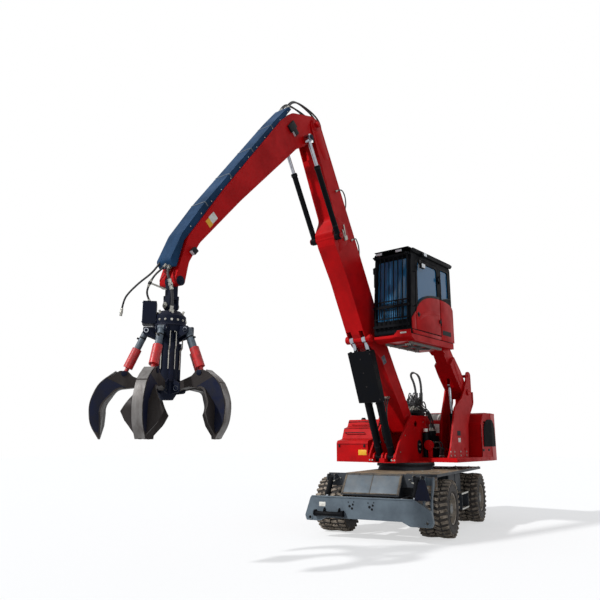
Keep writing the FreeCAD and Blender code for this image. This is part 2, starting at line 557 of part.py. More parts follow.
def cab_tower():
    """Leaning fork of two side plates that carries the cab's arm and link."""
    side = [(-20, PLATFORM_TOP_Z), (-150, 1640, 40), (-430, 2500, 200), (-800, 2720, 60),
            (ARM_PIVOT[0] + 170, ARM_PIVOT[1] + 60, 120), (ARM_PIVOT[0] + 60, ARM_PIVOT[1] + 250, 160),
            (ARM_PIVOT[0] + LINK_OFFSET[0] + 60, ARM_PIVOT[1] + LINK_OFFSET[1] + 110, 100),
            (ARM_PIVOT[0] + LINK_OFFSET[0] - 130, ARM_PIVOT[1] + LINK_OFFSET[1] + 90, 90),
            (ARM_PIVOT[0] + LINK_OFFSET[0] - 130, ARM_PIVOT[1] - 200, 140), (-1080, 2150, 160),
            (-1010, PLATFORM_TOP_Z)]
    slim = [(-560, PLATFORM_TOP_Z), (-640, 1640, 100), (-760, 2420, 200), (-880, 2680, 60)] + side[4:]
    parts = [plate(side, (ARM_Y + 215, ARM_Y + 250)), plate(slim, (ARM_Y - 250, ARM_Y - 215))]
    back = [(-1010, PLATFORM_TOP_Z), (-1080, 2150, 160), (-1500, 2640, 140), (-1500, 2900),
            (-1470, 2900), (-1470, 2660, 120), (-1045, 2165, 140), (-980, PLATFORM_TOP_Z)]
    parts.append(plate(back, (ARM_Y - 220, ARM_Y + 220)))
    for at, d in ((ARM_PIVOT, 100), ((ARM_PIVOT[0] + LINK_OFFSET[0], ARM_PIVOT[1] + LINK_OFFSET[1]), 70),
                  (CAB_CYL_BASE, 60)):
        parts.append(cross_bar(at[0], at[1], 265, d, ARM_Y))
    keep("cab_tower", fuse(parts))


# ---- boom and stick -------------------------------------------------------------
LIFT_TOP = spot(LIFT_EYE, BOOM_FOOT, BOOM_ANGLE)
ELBOW = spot((BOOM_LEN, 0), BOOM_FOOT, BOOM_ANGLE)
STICK_BASE = spot(STICK_CYL_BASE, BOOM_FOOT, BOOM_ANGLE)
STICK_EYE = spot(STICK_CYL_EYE, ELBOW, STICK_ANGLE)
TIP = spot((STICK_LEN, 0), ELBOW, STICK_ANGLE)
TIP_X, TIP_Z = TIP


def box_section(profile, inner, half_w, wall):
    """A welded box member: its outline across, less the sealed space inside."""
    return plate(profile, (-half_w, half_w)).cut(plate(inner, (-half_w + wall, half_w - wall)))


def boom():
    lug, drop = STICK_CYL_BASE
    outer = [(-190, -150, 120), (-190, 150, 150), (620, 120, 400), (2000, 40, 2500), (BOOM_LEN - 2380, 110, 3000),
             (BOOM_LEN + 40, 165, 120), (BOOM_LEN + 165, 0, 120), (BOOM_LEN + 40, -165, 110),
             (BOOM_LEN - 1330, -290, 900), (lug + 337, drop + 233, 160), (lug + 127, drop - 47, 90),
             (lug - 133, drop - 77, 90), (lug - 893, -600, 1500),
             (2420, -640, 90), (2170, -600, 80), (2040, -530, 150), (1700, -330, 400), (500, -190, 500)]
    inner = [(350, -90), (350, 90), (2000, 15), (BOOM_LEN - 2380, 85), (BOOM_LEN - 680, 110),
             (BOOM_LEN - 680, -110), (BOOM_LEN - 1340, -235), (lug + 267, drop + 263), (lug + 47, drop + 123),
             (2900, -480), (2700, -260), (1900, -200)]
    body = box_section(along(outer, BOOM_FOOT, BOOM_ANGLE), along(inner, BOOM_FOOT, BOOM_ANGLE),
                       BOOM_HALF_W, BOOM_WALL)
    foot_half = CHEEK_OUT_Y - CHEEK_T - SIDE_GAP
    parts = [body, cross_bar(BOOM_FOOT[0], BOOM_FOOT[1], foot_half, 300)]
    for at, half, d in ((LIFT_TOP, 300, 170), (STICK_BASE, STICK_CYL_Y - 55 - SIDE_GAP, 130)):
        parts.append(cross_bar(at[0], at[1], half, d))
    whole = fuse(parts)
    slot = along([(LIFT_EYE[0] - 620, LIFT_EYE[1] - 260), (LIFT_EYE[0] - 620, LIFT_EYE[1] + 60),
                  (LIFT_EYE[0] - 60, LIFT_EYE[1] + 205, 60), (LIFT_EYE[0] + 210, LIFT_EYE[1] + 205, 100),
                  (LIFT_EYE[0] + 210, LIFT_EYE[1] - 260)],
                 BOOM_FOOT, BOOM_ANGLE)
    for side in (-1, 1):
        gap = (side * LIFT_Y - 44 - SIDE_GAP, side * LIFT_Y + 44 + SIDE_GAP)
        whole = whole.cut(plate(slot, gap))
    fork = along([(BOOM_LEN - 295, 300), (BOOM_LEN - 295, -60), (BOOM_LEN - 600, -150), (BOOM_LEN - 600, -450),
                  (BOOM_LEN + 300, -450), (BOOM_LEN + 300, 300)], BOOM_FOOT, BOOM_ANGLE)
    whole = whole.cut(plate(fork, (-STICK_HALF_W - SIDE_GAP, STICK_HALF_W + SIDE_GAP)))
    pins = [cross_bar(STICK_BASE[0], STICK_BASE[1], STICK_CYL_Y + 80, 80),
            cross_bar(ELBOW[0], ELBOW[1], BOOM_HALF_W + 75, STICK_PIN_D)]
    for s, t in ((700, 100), (2150, 48), (3500, 75)):
        at = spot((s, t), BOOM_FOOT, BOOM_ANGLE)
        pins.append(cross_bar(at[0], at[1], 120, 60))
    whole = fuse([whole] + pins)
    keep("boom", whole.cut(cross_bar(BOOM_FOOT[0], BOOM_FOOT[1], 400, BOOM_PIN_D + 2 * RUNNING)))


def lift_cylinders():
    barrels, rods = [], []
    for side in (-1, 1):
        barrel, stem = strut(LIFT_BASE, LIFT_TOP, side * LIFT_Y, 150, 90, 0.52, 170, 160, 90, 88, 831)
        barrels.append(barrel)
        rods.append(stem)
    keep("lift_cylinder_barrels", barrels)
    a, b = V(LIFT_BASE[0], 0, LIFT_BASE[1]), V(LIFT_TOP[0], 0, LIFT_TOP[1])
    way = (b - a).normalize()
    angle = math.degrees(math.atan2(way.z, way.x))
    length = (b - a).Length
    shield = along([(length - 1330, -130), (length - 1330, -118), (length - 240, -118),
                    (length - 240, -130)], LIFT_BASE, angle)
    guard = [plate(shield, (-280, 280))]
    for side in (-1, 1):
        wing = along([(length - 1330, -125), (length - 1330, 10, 40), (length - 240, 40, 60),
                      (length - 240, -125)], LIFT_BASE, angle)
        guard.append(plate(wing, sorted((side * 280, side * 268))))
        clamp = along([(length - 398, -125), (length - 398, 50, 10), (length - 370, 50, 10),
                       (length - 370, -125)], LIFT_BASE, angle)
        guard.append(plate(clamp, sorted((side * (LIFT_Y - 48), side * (LIFT_Y + 48)))).cut(
            rod(a + V(0, side * LIFT_Y, 0), way, length, 90 + 2 * SEAT)))
    keep("lift_rod_guard", fuse(guard))
    keep("lift_cylinder_rods", rods)



def stick():
    """Hollow stick with the elbow's tongue, the cylinder bosses and the tip's eye."""
    outer = [(-150, -95, 110), (-90, 160, 150), (480, 530, 330), (900, 575, 300), (MID_STICK, 470, 3000),
             (STICK_LEN - 618, 370, 300), (STICK_LEN + 20, 95, 50), (STICK_LEN + 100, 0, 70),
             (STICK_LEN, -100, 80), (STICK_LEN - 338, 90, 250), (STICK_LEN - 738, 165, 400),
             (MID_STICK - 200, 120, 3000), (900, -30, 300), (650, -115, 70), (470, -115, 70), (150, -130, 200)]
    inner = [(300, 60), (520, 470), (900, 530), (MID_STICK, 430), (STICK_LEN - 638, 335), (STICK_LEN - 538, 210),
             (MID_STICK - 200, 165), (900, 30)]
    body = box_section(along(outer, ELBOW, STICK_ANGLE), along(inner, ELBOW, STICK_ANGLE),
                       STICK_HALF_W, STICK_WALL)
    boss_half = STICK_CYL_Y - 55 - SIDE_GAP
    whole = fuse([body, cross_bar(STICK_EYE[0], STICK_EYE[1], boss_half, 150)])
    tip_slot = along([(STICK_LEN - 238, -300), (STICK_LEN - 238, 400), (STICK_LEN + 300, 400), (STICK_LEN + 300, -300)],
                     ELBOW, STICK_ANGLE)
    whole = whole.cut(plate(tip_slot, (-60 - SIDE_GAP, 60 + SIDE_GAP)))
    whole = fuse([whole, cross_bar(TIP[0], TIP[1], STICK_HALF_W + 20, HANGER_PIN_D)])
    whole = whole.cut(cross_bar(ELBOW[0], ELBOW[1], 400, STICK_PIN_D + 2 * RUNNING))
    keep("stick", whole)


def stick_cover():
    """Folded hose cover along the stick's back, with its capped lower end."""
    end = STICK_LEN - 138
    outer = [(400, 575.3, 10), (430, 655, 60), (1010, 655, 200), (end - 1200, 545, 2000), (end - 450, 470, 300),
             (end + 30, 330, 60), (end + 60, 200, 30), (end, 190), (end - 400, 372)]
    inner_top = [(430, 578), (470, 635, 40), (1010, 635, 190), (end - 1200, 525, 1900), (end - 470, 452, 290),
                 (end, 318, 50), (end + 25, 230), (end + 5, 222), (end - 400, 392)]
    cover = plate(along(outer, ELBOW, STICK_ANGLE), (-STICK_HALF_W + 30, STICK_HALF_W - 30))
    stick_line = along([(0, 300), (480, 530.3), (900, 575.3), (MID_STICK, 470.3), (STICK_LEN - 618, 370.3),
                        (STICK_LEN + 62, 40), (STICK_LEN + 62, -300), (0, -300)], ELBOW, STICK_ANGLE)
    cover = cover.cut(plate(stick_line, (-300, 300)))
    cover = cover.cut(plate(along(inner_top, ELBOW, STICK_ANGLE), (-STICK_HALF_W + 50, STICK_HALF_W - 50)))
    first = (HOSE_PATH[1] - HOSE_PATH[0]).normalize()
    gland = rod(HOSE_PATH[0] - first * 70, first, 70, 50)
    way_out = rod(HOSE_PATH[0], first, 120, HOSE_D + 8)
    keep("stick_hose_cover", fuse([cover, gland]).cut(way_out))


def stick_cylinders():
    barrels, rods = [], []
    for side in (-1, 1):
        y = side * STICK_CYL_Y
        barrel, stem = strut(STICK_BASE, STICK_EYE, y, 108, 70, 0.72, 150, 110, 80, 110, 247)
        barrels.append(barrel)
        rods.append(fuse([stem, rod(V(STICK_EYE[0], y, STICK_EYE[1]), Y * side, 80, 80)]))
    keep("stick_cylinder_barrels", barrels)
    keep("stick_cylinder_rods", rods)


# ---- hanger, rotator and grapple --------------------------------------------------
YOKE_Z = TIP_Z - LINK_LEN
ROTATOR_BOTTOM_Z = TIP_Z - ROTATOR_DROP
TINE_PIVOT = (TINE_PIVOT_DROP[0], TIP_Z - TINE_PIVOT_DROP[1])
TINE_CYL_TOP = (TINE_TOP_DROP[0], TIP_Z - TINE_TOP_DROP[1])
TINE_CYL_LOW = (TINE_LOW_DROP[0], TIP_Z - TINE_LOW_DROP[1])


def hanger():
    """Cross-pinned link between the stick's tip and the rotator's neck."""
    upper = fuse([cross_bar(TIP_X, TIP_Z, 60, 170),
                  box((TIP_X - 70, TIP_X + 70), (-60, 60), (YOKE_Z + 100, TIP_Z))])
    fork = []
    for s in (-1, 1):
        fork.append(box(sorted((TIP_X + s * 50, TIP_X + s * 85)), (-72, 72), (YOKE_Z, YOKE_Z + 130)))
        fork.append(rod(V(TIP_X + s * 50, 0, YOKE_Z), X * s, 35, 144))
    bridge = box((TIP_X - 85, TIP_X + 85), (-75, 75), (YOKE_Z + 95, YOKE_Z + 150))
    pin = rod(V(TIP_X - 110, 0, YOKE_Z), X, 220, HANGER_PIN_D)
    link = fuse([upper, bridge, pin] + fork)
    keep("hanger_link", link.cut(cross_bar(TIP_X, TIP_Z, 100, HANGER_PIN_D + 2 * RUNNING)))
    eye = rod(V(TIP_X - 44, 0, YOKE_Z), X, 88, 130)
    neck = box((TIP_X - 44, TIP_X + 44), (-65, 65), (ROTATOR_BOTTOM_Z + 210, YOKE_Z))
    dome = Part.makeCone(230, 150, 80, V(TIP_X, 0, ROTATOR_BOTTOM_Z + 150), Z)
    drum = rod(V(TIP_X, 0, ROTATOR_BOTTOM_Z + SEAT), Z, 150 - SEAT, 460)
    port_box = box((TIP_X + 200, TIP_X + 390), (-140, 140), (ROTATOR_BOTTOM_Z + 30, ROTATOR_BOTTOM_Z + 360))
    port_box = turned(port_box, BOX_TURN, V(TIP_X, 0, 0))
    body = fuse([eye, neck, dome, drum, port_box])
    keep("rotator_head", body.cut(rod(V(TIP_X - 100, 0, YOKE_Z), X, 200, HANGER_PIN_D + 2 * RUNNING)))


def polar(shape, index):
    """One of the evenly spaced copies about the grapple's axis."""
    return turned(shape, TINES_TURN + 360.0 / TINES * index, V(TIP_X, 0, 0))


def grapple_point(point):
    return (TIP_X + point[0], point[1])


def grapple_hub():
    """Column under the rotator with the cylinders' top clevises and the tines' hinge ears."""
    head = rod(V(TIP_X, 0, ROTATOR_BOTTOM_Z - 80), Z, 80, 460)
    column = rod(V(TIP_X, 0, TINE_PIVOT[1] - 60), Z, ROTATOR_BOTTOM_Z - 10 - TINE_PIVOT[1], COLUMN_D)
    foot = Part.makeCone(90, COLUMN_D / 2 + 10, 120, V(TIP_X, 0, TINE_PIVOT[1] - 160), Z)
    parts = [head, column, foot]
    top, low = grapple_point(TINE_CYL_TOP), grapple_point(TINE_PIVOT)
    clevis = [(TIP_X + 130, top[1] + 50), (TIP_X + 130, top[1] - 150), (top[0] + 45, top[1] - 50, 40),
              (top[0] + 45, top[1] + 50, 20)]
    hinge = [(TIP_X + 100, low[1] + 160), (low[0] + 60, low[1] + 60, 50), (low[0] + 60, low[1] - 60, 50),
             (TIP_X + 60, low[1] - 90)]
    arm = eared_pin(top, 0, 100, 20, clevis, 46) + eared_pin(low, 0, 90, 22, hinge, 60)
    for i in range(TINES):
        parts += [polar(shape, i) for shape in arm]
    keep("grapple_hub", fuse(parts))


def tine_profile():
    """Outline of one tine's rib, from its hinge over its back to its point."""
    p, c = grapple_point(TINE_PIVOT), grapple_point(TINE_CYL_LOW)
    back = [(p[0] - 55, p[1] - 50, 45), (p[0] - 55, p[1] + 50, 45), (c[0] - 125, c[1] - 40, 80),
            (c[0] - 50, c[1] + 35, 45), (c[0] + 60, c[1] + 40, 60), (TIP_X + 940, p[1] + 60, 180),
            (TIP_X + 1050, p[1] - 220, 260), (TIP_X + 1020, p[1] - 500, 220), (TIP_X + 885, p[1] - 705)]
    return back + [(TIP_X + 855, p[1] - 520, 200), (TIP_X + 860, p[1] - 250, 220),
                   (TIP_X + 690, p[1] - 25, 160), (TIP_X + 420, p[1] + 10, 120)]


def tine():
    """One curved tine: its rib, and the pointed petal on the rib's inner side."""
    rib = plate(tine_profile(), (-TINE_HALF_W, TINE_HALF_W))
    p, c = grapple_point(TINE_PIVOT), grapple_point(TINE_CYL_LOW)
    inside = [(TIP_X + 880, p[1] - 708), (TIP_X + 855, p[1] - 520, 200), (TIP_X + 860, p[1] - 250, 220),
              (TIP_X + 690, p[1] - 25, 160), (TIP_X + 600, p[1] - 10), (TIP_X + 605, p[1] + 12),
              (TIP_X + 700, p[1] - 3, 170), (TIP_X + 882, p[1] - 240, 230), (TIP_X + 877, p[1] - 518, 190),
              (TIP_X + 903, p[1] - 708)]
    petal = plate(inside, (-360, 360))
    leaf = [(0, p[1] - 720), (60, p[1] - 670), (310, p[1] - 380), (60, p[1] + 40), (-60, p[1] + 40),
            (-310, p[1] - 380), (-60, p[1] - 670)]
    leaf = turned(plate(leaf, (-1400, 0)), 90)
    leaf.translate(V(TIP_X, 0, 0))
    petal = petal.common(leaf)
    closed = turned(petal, TINE_CLOSE, V(p[0], 0, p[1]), Y)
    far, lean = 1500.0, math.tan(math.pi / TINES)
    wedge = Part.Face(Part.makePolygon([V(TIP_X, 0, 0), V(TIP_X + far, -far * lean, 0),
                                        V(TIP_X + far, far * lean, 0), V(TIP_X, 0, 0)]))
    wedge = wedge.extrude(V(0, 0, 4000))
    wedge.translate(V(18, 0, 0))
    petal = turned(closed.common(wedge), -TINE_CLOSE, V(p[0], 0, p[1]), Y)
    body = fuse([rib, petal])
    body = body.cut(box((c[0] - 110, c[0] + 95), (-35 - SIDE_GAP, 35 + SIDE_GAP), (c[1] - 75, c[1] + 200)))
    for s in (-1, 1):
        body = body.cut(box((p[0] - 200, p[0] + 70), sorted((s * 45, s * 200)), (p[1] - 120, p[1] + 95)))
    return body.cut(cross_bar(p[0], p[1], 200, 60 + 2 * RUNNING))


def grapple():
    grapple_hub()
    one = tine()
    top, low = grapple_point(TINE_CYL_TOP), grapple_point(TINE_CYL_LOW)
    barrel, stem = strut(top, low, 0, 96, 60, 0.72, 92, 100, 46, 70, 72)
    way = V(top[0] - low[0], 0, top[1] - low[1]).normalize()
    foot = V(low[0], 0, low[1])
    sleeve = rod(foot + way * 92, way, 300, 136).cut(rod(foot + way * 106, way, 320, 122))
    stem = fuse([stem, sleeve])
    for i in range(TINES):
        keep("tine_%d" % (i + 1), polar(one, i))
        keep("tine_barrel_%d" % (i + 1), polar(barrel, i))
        keep("tine_rod_%d" % (i + 1), polar(stem, i))


# ---- cab and its lifting gear ------------------------------------------------------
ARM_ANGLE = math.degrees(math.atan2(ARM_END[1] - ARM_PIVOT[1], ARM_END[0] - ARM_PIVOT[0]))
ARM_LEN = math.hypot(ARM_END[0] - ARM_PIVOT[0], ARM_END[1] - ARM_PIVOT[1])
CAB_EYE = spot(CAB_CYL_EYE, ARM_PIVOT, ARM_ANGLE)
LINK_PIVOT = (ARM_PIVOT[0] + LINK_OFFSET[0], ARM_PIVOT[1] + LINK_OFFSET[1])
LINK_END = (ARM_END[0] + LINK_OFFSET[0], ARM_END[1] + LINK_OFFSET[1])
CAB_MID_Y = (CAB_Y[0] + CAB_Y[1]) / 2


def cab_profile(inset):
    """Side outline of the cab; inset draws the space inside its walls."""
    x, z, r = CAB_X, CAB_Z, max(20.0, 110.0 - inset)
    return [(x[0] + inset, z[0] + inset, 30), (x[1] - inset, z[0] + inset, 60), (x[1] - inset, z[0] + 420, 300),
            (x[1] - 110 - inset, z[1] - inset, r), (x[0] + inset, z[1] - inset, r)]


def cab_frame():
    """Hollow cab with its window openings, the front guard bars and the roof guard."""
    y, z, t = CAB_Y, CAB_Z, CAB_WALL
    shell = plate(cab_profile(0), y).cut(plate(cab_profile(t), (y[0] + t, y[1] - t)))
    front = box((CAB_X[1] - 260, CAB_X[1] + 20), (y[0] + 85, y[1] - 85), (z[0] + 300, z[1] - 150))
    rear = box((CAB_X[0] - 20, CAB_X[0] + t + 20), (y[0] + 120, y[1] - 120), (z[0] + 900, z[1] - 170))
    top = box((500, 1250), (y[0] + 150, y[1] - 150), (z[1] - t - 20, z[1] + 20))
    right = plate([(20, z[0] + 780, 90), (1420, z[0] + 520, 90), (1370, z[1] - 150, 90), (20, z[1] - 150, 90)],
                  (y[0] - 20, y[0] + t + 20))
    quarter = plate([(-30, z[0] + 980, 70), (330, z[0] + 900, 70), (330, z[1] - 150, 70), (-30, z[1] - 150, 70)],
                    (y[1] - t - 20, y[1] + 20))
    door = plate(door_outline(0), (y[1] - t - 20, y[1] + 20))
    for opening in (front, rear, top, right, quarter, door):
        shell = shell.cut(opening)
    bars = []
    for i in range(8):
        at = y[0] + 60 + i * (y[1] - y[0] - 120) / 7.0
        low, high = V(CAB_X[1] + 55, at, z[0] + 130), V(CAB_X[1] - 45, at, z[1] - 60)
        bars.append(rod(low, high - low, (high - low).Length, 24))
    for h, x in ((z[0] + 160, CAB_X[1] + 40), (z[0] + 560, CAB_X[1] + 14), (z[1] - 90, CAB_X[1] - 60)):
        bars.append(box((x, x + 30), (y[0] + 20, y[1] - 20), (h, h + 50)))
    for h in (z[0] + 175, z[1] - 80):
        for side_y in (y[0] + 40, y[1] - 65):
            bars.append(box((CAB_X[1] - 140, CAB_X[1] + 50), (side_y, side_y + 25), (h, h + 30)))
    roof = [box((CAB_X[0] + 40, CAB_X[1] - 40), (y[0] + 30, y[1] - 30), (z[1] + 60, z[1] + 78))]
    for x in (CAB_X[0] + 100, CAB_X[1] - 260):
        for side_y in (y[0] + 60, y[1] - 100):
            roof.append(box((x, x + 60), (side_y, side_y + 40), (z[1] - 10, z[1] + 70)))
    for h in DOOR_HINGES_Z:
        bars.append(rod(V(DOOR_HINGE[0], DOOR_HINGE[1], h - 36), Z, 162, 16))
        for low in (h - 36, h + 94):
            bars.append(rod(V(DOOR_HINGE[0], DOOR_HINGE[1], low), Z, 32, 26))
            bars.append(box((DOOR_HINGE[0] - 26, DOOR_HINGE[0] - 2), (y[1] - 5, DOOR_HINGE[1]), (low, low + 32)))
    keep("cab_frame", fuse([shell] + bars + roof))


def door_outline(inset):
    """The door's opening in the cab's left side."""
    z = CAB_Z
    return [(420 + inset, z[0] + 90 + inset, 80), (1500 - inset, z[0] + 90 + inset, 80),
            (1500 - inset, z[0] + 420, 200), (1440 - inset, z[1] - 110 - inset, 110),
            (420 + inset, z[1] - 110 - inset, 110)]


def cab_door():
    y = (CAB_Y[1] - CAB_WALL, CAB_Y[1])
    leaf = plate(door_outline(8), y)
    window = plate([(490, CAB_Z[0] + 720, 80), (1380, CAB_Z[0] + 480, 80), (1350, CAB_Z[1] - 185, 80),
                    (490, CAB_Z[1] - 185, 80)], (y[0] - 5, y[1] + 5))
    parts = [leaf.cut(window)]
    for h in DOOR_HINGES_Z:
        parts.append(rod(V(DOOR_HINGE[0], DOOR_HINGE[1], h), Z, 90, 30))
        parts.append(box((DOOR_HINGE[0] + 10, 500), (CAB_Y[1] - 5, DOOR_HINGE[1] + 13), (h + 10, h + 80)))
    door = fuse(parts)
    for h in DOOR_HINGES_Z:
        door = door.cut(rod(V(DOOR_HINGE[0], DOOR_HINGE[1], h - 5), Z, 100, 16 + 2 * RUNNING))
    keep("cab_door", door)


def cab_panels():
    """Red lower panels, floor carrier and the rear bracket that takes the arm and link."""
    y, z = CAB_Y, CAB_Z
    floor = box((CAB_X[0] - 10, CAB_X[1] - 120), (y[0], y[1]), (z[0] - 120, z[0] - SEAT))
    lip = plate([(CAB_X[1] - 130, z[0] - 120), (CAB_X[1] + 10, z[0] - 60, 40), (CAB_X[1] + 10, z[0] - SEAT),
                 (CAB_X[1] - 130, z[0] - SEAT)], y)
    parts = [floor, lip]
    for side in (-1, 1):
        ear = [(CAB_X[0] - SEAT, z[0] - 120), (ARM_END[0] + 20, ARM_END[1] - 130, 60),
               (ARM_END[0] - 110, ARM_END[1] - 60, 90), (LINK_END[0] - 100, LINK_END[1] + 60, 80),
               (LINK_END[0] + 60, LINK_END[1] + 110, 60), (CAB_X[0] - SEAT, LINK_END[1] + 110)]
        at = ARM_Y + side * (130 + SIDE_GAP)
        parts.append(plate(ear, sorted((at, at + side * 30))))
    back = box((CAB_X[0] - 30, CAB_X[0] - SEAT), (ARM_Y - 170, ARM_Y + 170), (z[0] - 120, LINK_END[1] + 110))
    parts += [back, cross_bar(ARM_END[0], ARM_END[1], 175, 80, ARM_Y),
              cross_bar(LINK_END[0], LINK_END[1], 175, 60, ARM_Y)]
    keep("cab_carrier", fuse(parts))


def cab_glass():
    """Panes seated in the middle of the cab's walls."""
    y, z, t = CAB_Y, CAB_Z, CAB_WALL
    panes = []
    wind = plate(cab_profile(18), (y[0] + 85.3, y[1] - 85.3)).cut(plate(cab_profile(26), (y[0], y[1])))
    panes.append(wind.common(box((CAB_X[1] - 260, CAB_X[1] + 20), y, (z[0] + 300.3, z[1] - 150.3))))
    panes.append(box((CAB_X[0] + 20, CAB_X[0] + 28), (y[0] + 120.3, y[1] - 120.3), (z[0] + 900.3, z[1] - 170.3)))
    keep("cab_glass", panes)


def cab_interior():
    """Seat and console standing on the cab's floor."""
    floor = CAB_Z[0] + CAB_WALL + SEAT
    base = box((250, 620), (CAB_MID_Y - 180, CAB_MID_Y + 180), (floor, floor + 330))
    seat = plate([(200, floor + 330), (720, floor + 330, 40), (740, floor + 450, 50), (360, floor + 450, 40),
                  (250, floor + 1130, 60), (120, floor + 1130, 60)], (CAB_MID_Y - 230, CAB_MID_Y + 230))
    arms = [box((330, 760), (CAB_MID_Y + s * 290 - 60, CAB_MID_Y + s * 290 + 60), (floor + 300, floor + 560))
            for s in (-1, 1)]
    rests = [box((330, 560), sorted((CAB_MID_Y + s * 170, CAB_MID_Y + s * 240)), (floor + 300, floor + 330))
             for s in (-1, 1)]
    keep("cab_seat_and_consoles", fuse([base, seat] + arms + rests))


def cab_lift():
    outer = [(-150, -100, 110), (-150, 120, 130), (500, 165, 300), (ARM_LEN + 95, 110, 100),
             (ARM_LEN + 95, -95, 90), (CAB_CYL_EYE[0] + 230, -160, 120), (300, -150, 150)]
    body = plate(along(outer, ARM_PIVOT, ARM_ANGLE), (ARM_Y - 200, ARM_Y + 200))
    trim = [plate(along([(ARM_LEN - 330, -400), (ARM_LEN - 330, 400), (ARM_LEN + 300, 400),
                         (ARM_LEN + 300, -400)], ARM_PIVOT, ARM_ANGLE),
                  sorted((ARM_Y + s * 130, ARM_Y + s * 400))) for s in (-1, 1)]
    for block in trim:
        body = body.cut(block)
    inner = [(170, 10), (170, 80), (500, 120), (ARM_LEN - 360, 90), (ARM_LEN - 360, 10)]
    body = body.cut(plate(along(inner, ARM_PIVOT, ARM_ANGLE), (ARM_Y - 180, ARM_Y + 180)))
    ear = along([(CAB_CYL_EYE[0] - 120, -120), (CAB_CYL_EYE[0] - 50, CAB_CYL_EYE[1] - 50, 45),
                 (CAB_CYL_EYE[0] + 50, CAB_CYL_EYE[1] - 50, 45), (CAB_CYL_EYE[0] + 170, -120)],
                ARM_PIVOT, ARM_ANGLE)
    slot = along([(CAB_CYL_EYE[0] - 190, -400), (CAB_CYL_EYE[0] - 150, -50), (CAB_CYL_EYE[0] + 150, -50),
                  (CAB_CYL_EYE[0] + 220, -400)], ARM_PIVOT, ARM_ANGLE)
    arm = fuse([body] + ears(ARM_Y, 70, 22, ear)).cut(plate(slot, (ARM_Y - 35 - SIDE_GAP, ARM_Y + 35 + SIDE_GAP)))
    arm = arm.cut(cross_bar(ARM_PIVOT[0], ARM_PIVOT[1], 300, 100 + 2 * RUNNING, ARM_Y))
    keep("cab_arm", arm.cut(cross_bar(ARM_END[0], ARM_END[1], 300, 80 + 2 * RUNNING, ARM_Y)))
    bar = plate(along([(-60, -60, 58), (-60, 60, 58), (ARM_LEN + 60, 60, 58), (ARM_LEN + 60, -60, 58)],
                      LINK_PIVOT, ARM_ANGLE), (ARM_Y - 60, ARM_Y + 60))
    bar = bar.cut(cross_bar(LINK_PIVOT[0], LINK_PIVOT[1], 100, 70 + 2 * RUNNING, ARM_Y))
    keep("cab_link", bar.cut(cross_bar(LINK_END[0], LINK_END[1], 100, 60 + 2 * RUNNING, ARM_Y)))
    barrel, stem = strut(CAB_CYL_BASE, CAB_EYE, ARM_Y, 100, 55, 0.56, 96, 110, 60, 70, 560)
    keep("cab_cylinder_barrel", barrel)
    keep("cab_cylinder_rod", stem)


# ---- loose hose at the stick's tip ---------------------------------------------------
HOSE_D = 30.0
HOSE_PATH = [V(TIP_X + x, y, TIP_Z + z) for x, y, z in (
    (162, -100, 292), (202, -160, 182), (212, -290, 112), (222, -480, 42),
    (232, -720, -78), (247, -830, -188), (252, -850, -318))]


def tube(points, diameter):
    """A round hose through points: straight runs joined by tangent arcs."""
    edges, at = [], points[0]
    for before, corner, after in zip(points, points[1:], points[2:]):
        back, on = (before - corner), (after - corner)
        reach = 0.45 * min(back.Length, on.Length)
        back, on = back.normalize(), on.normalize()
        half = back.getAngle(on) / 2
        middle = (back + on).normalize()
        radius = reach * math.tan(half)
        deep = corner + middle * (reach / math.cos(half) - radius)
        start, end = corner + back * reach, corner + on * reach
        edges += [Part.makeLine(at, start), Part.Arc(start, deep, end).toShape()]
        at = end
    edges.append(Part.makeLine(at, points[-1]))
    section = Part.Wire(Part.makeCircle(diameter / 2, points[0], points[1] - points[0]))
    return Part.Wire(edges).makePipeShell([section], True, False)


def loose_hose():
    way = (HOSE_PATH[-1] - HOSE_PATH[-2]).normalize()
    first = (HOSE_PATH[1] - HOSE_PATH[0]).normalize()
    keep("hanging_hose", tube([HOSE_PATH[0] + first * SEAT] + HOSE_PATH[1:], HOSE_D))
    sleeve = rod(HOSE_PATH[-1] + way * SEAT, way, 70, 42)
    keep("hose_fitting", fuse([sleeve, rod(HOSE_PATH[-1] + way * 60, way, 60, 54)]))


def main():
    os.makedirs("parts", exist_ok=True)
    chassis()
    undercarriage_covers()
    axles()
    wheels_and_steering()
    blade()
    upper_frame()
    counterweight()
    engine_hood()
    side_box()
    power_pack()
    cab_tower()
    boom()
    lift_cylinders()
    stick()
    stick_cover()
    stick_cylinders()
    hanger()
    grapple()
    cab_frame()
    cab_door()
    cab_panels()
    cab_glass()
    cab_interior()
    cab_lift()
    loose_hose()
    for name, shape in NODES.items():
        if not shape.isValid():
            print("not valid:", name)
        shape.exportStep("parts/%s.step" % name)
        print("%-28s solids %d  volume %8.4f m3" % (name, len(shape.Solids), shape.Volume / 1e9))


main()
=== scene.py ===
"""Looks of a wheeled material handler: its finishes, tread, hoses, lamps, guards and small fittings."""
import math

import bmesh
import bpy
from mathutils import Matrix, Vector


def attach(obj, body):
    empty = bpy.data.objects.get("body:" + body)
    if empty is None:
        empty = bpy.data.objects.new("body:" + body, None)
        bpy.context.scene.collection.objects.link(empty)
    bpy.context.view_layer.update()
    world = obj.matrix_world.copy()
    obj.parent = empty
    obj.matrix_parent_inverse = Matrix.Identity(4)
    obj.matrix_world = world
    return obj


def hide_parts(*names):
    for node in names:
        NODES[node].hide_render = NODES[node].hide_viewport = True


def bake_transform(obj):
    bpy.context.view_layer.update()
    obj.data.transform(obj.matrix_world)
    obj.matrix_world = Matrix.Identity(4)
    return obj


bl_info = {
    "name": "Material Handler Dressing",
    "version": (1, 0, 0),
    "blender": (4, 5, 0),
    "location": "View3D > Sidebar > Handler",
    "description": "Dresses the packed material handler with its finishes and small fittings",
    "category": "Object",
}

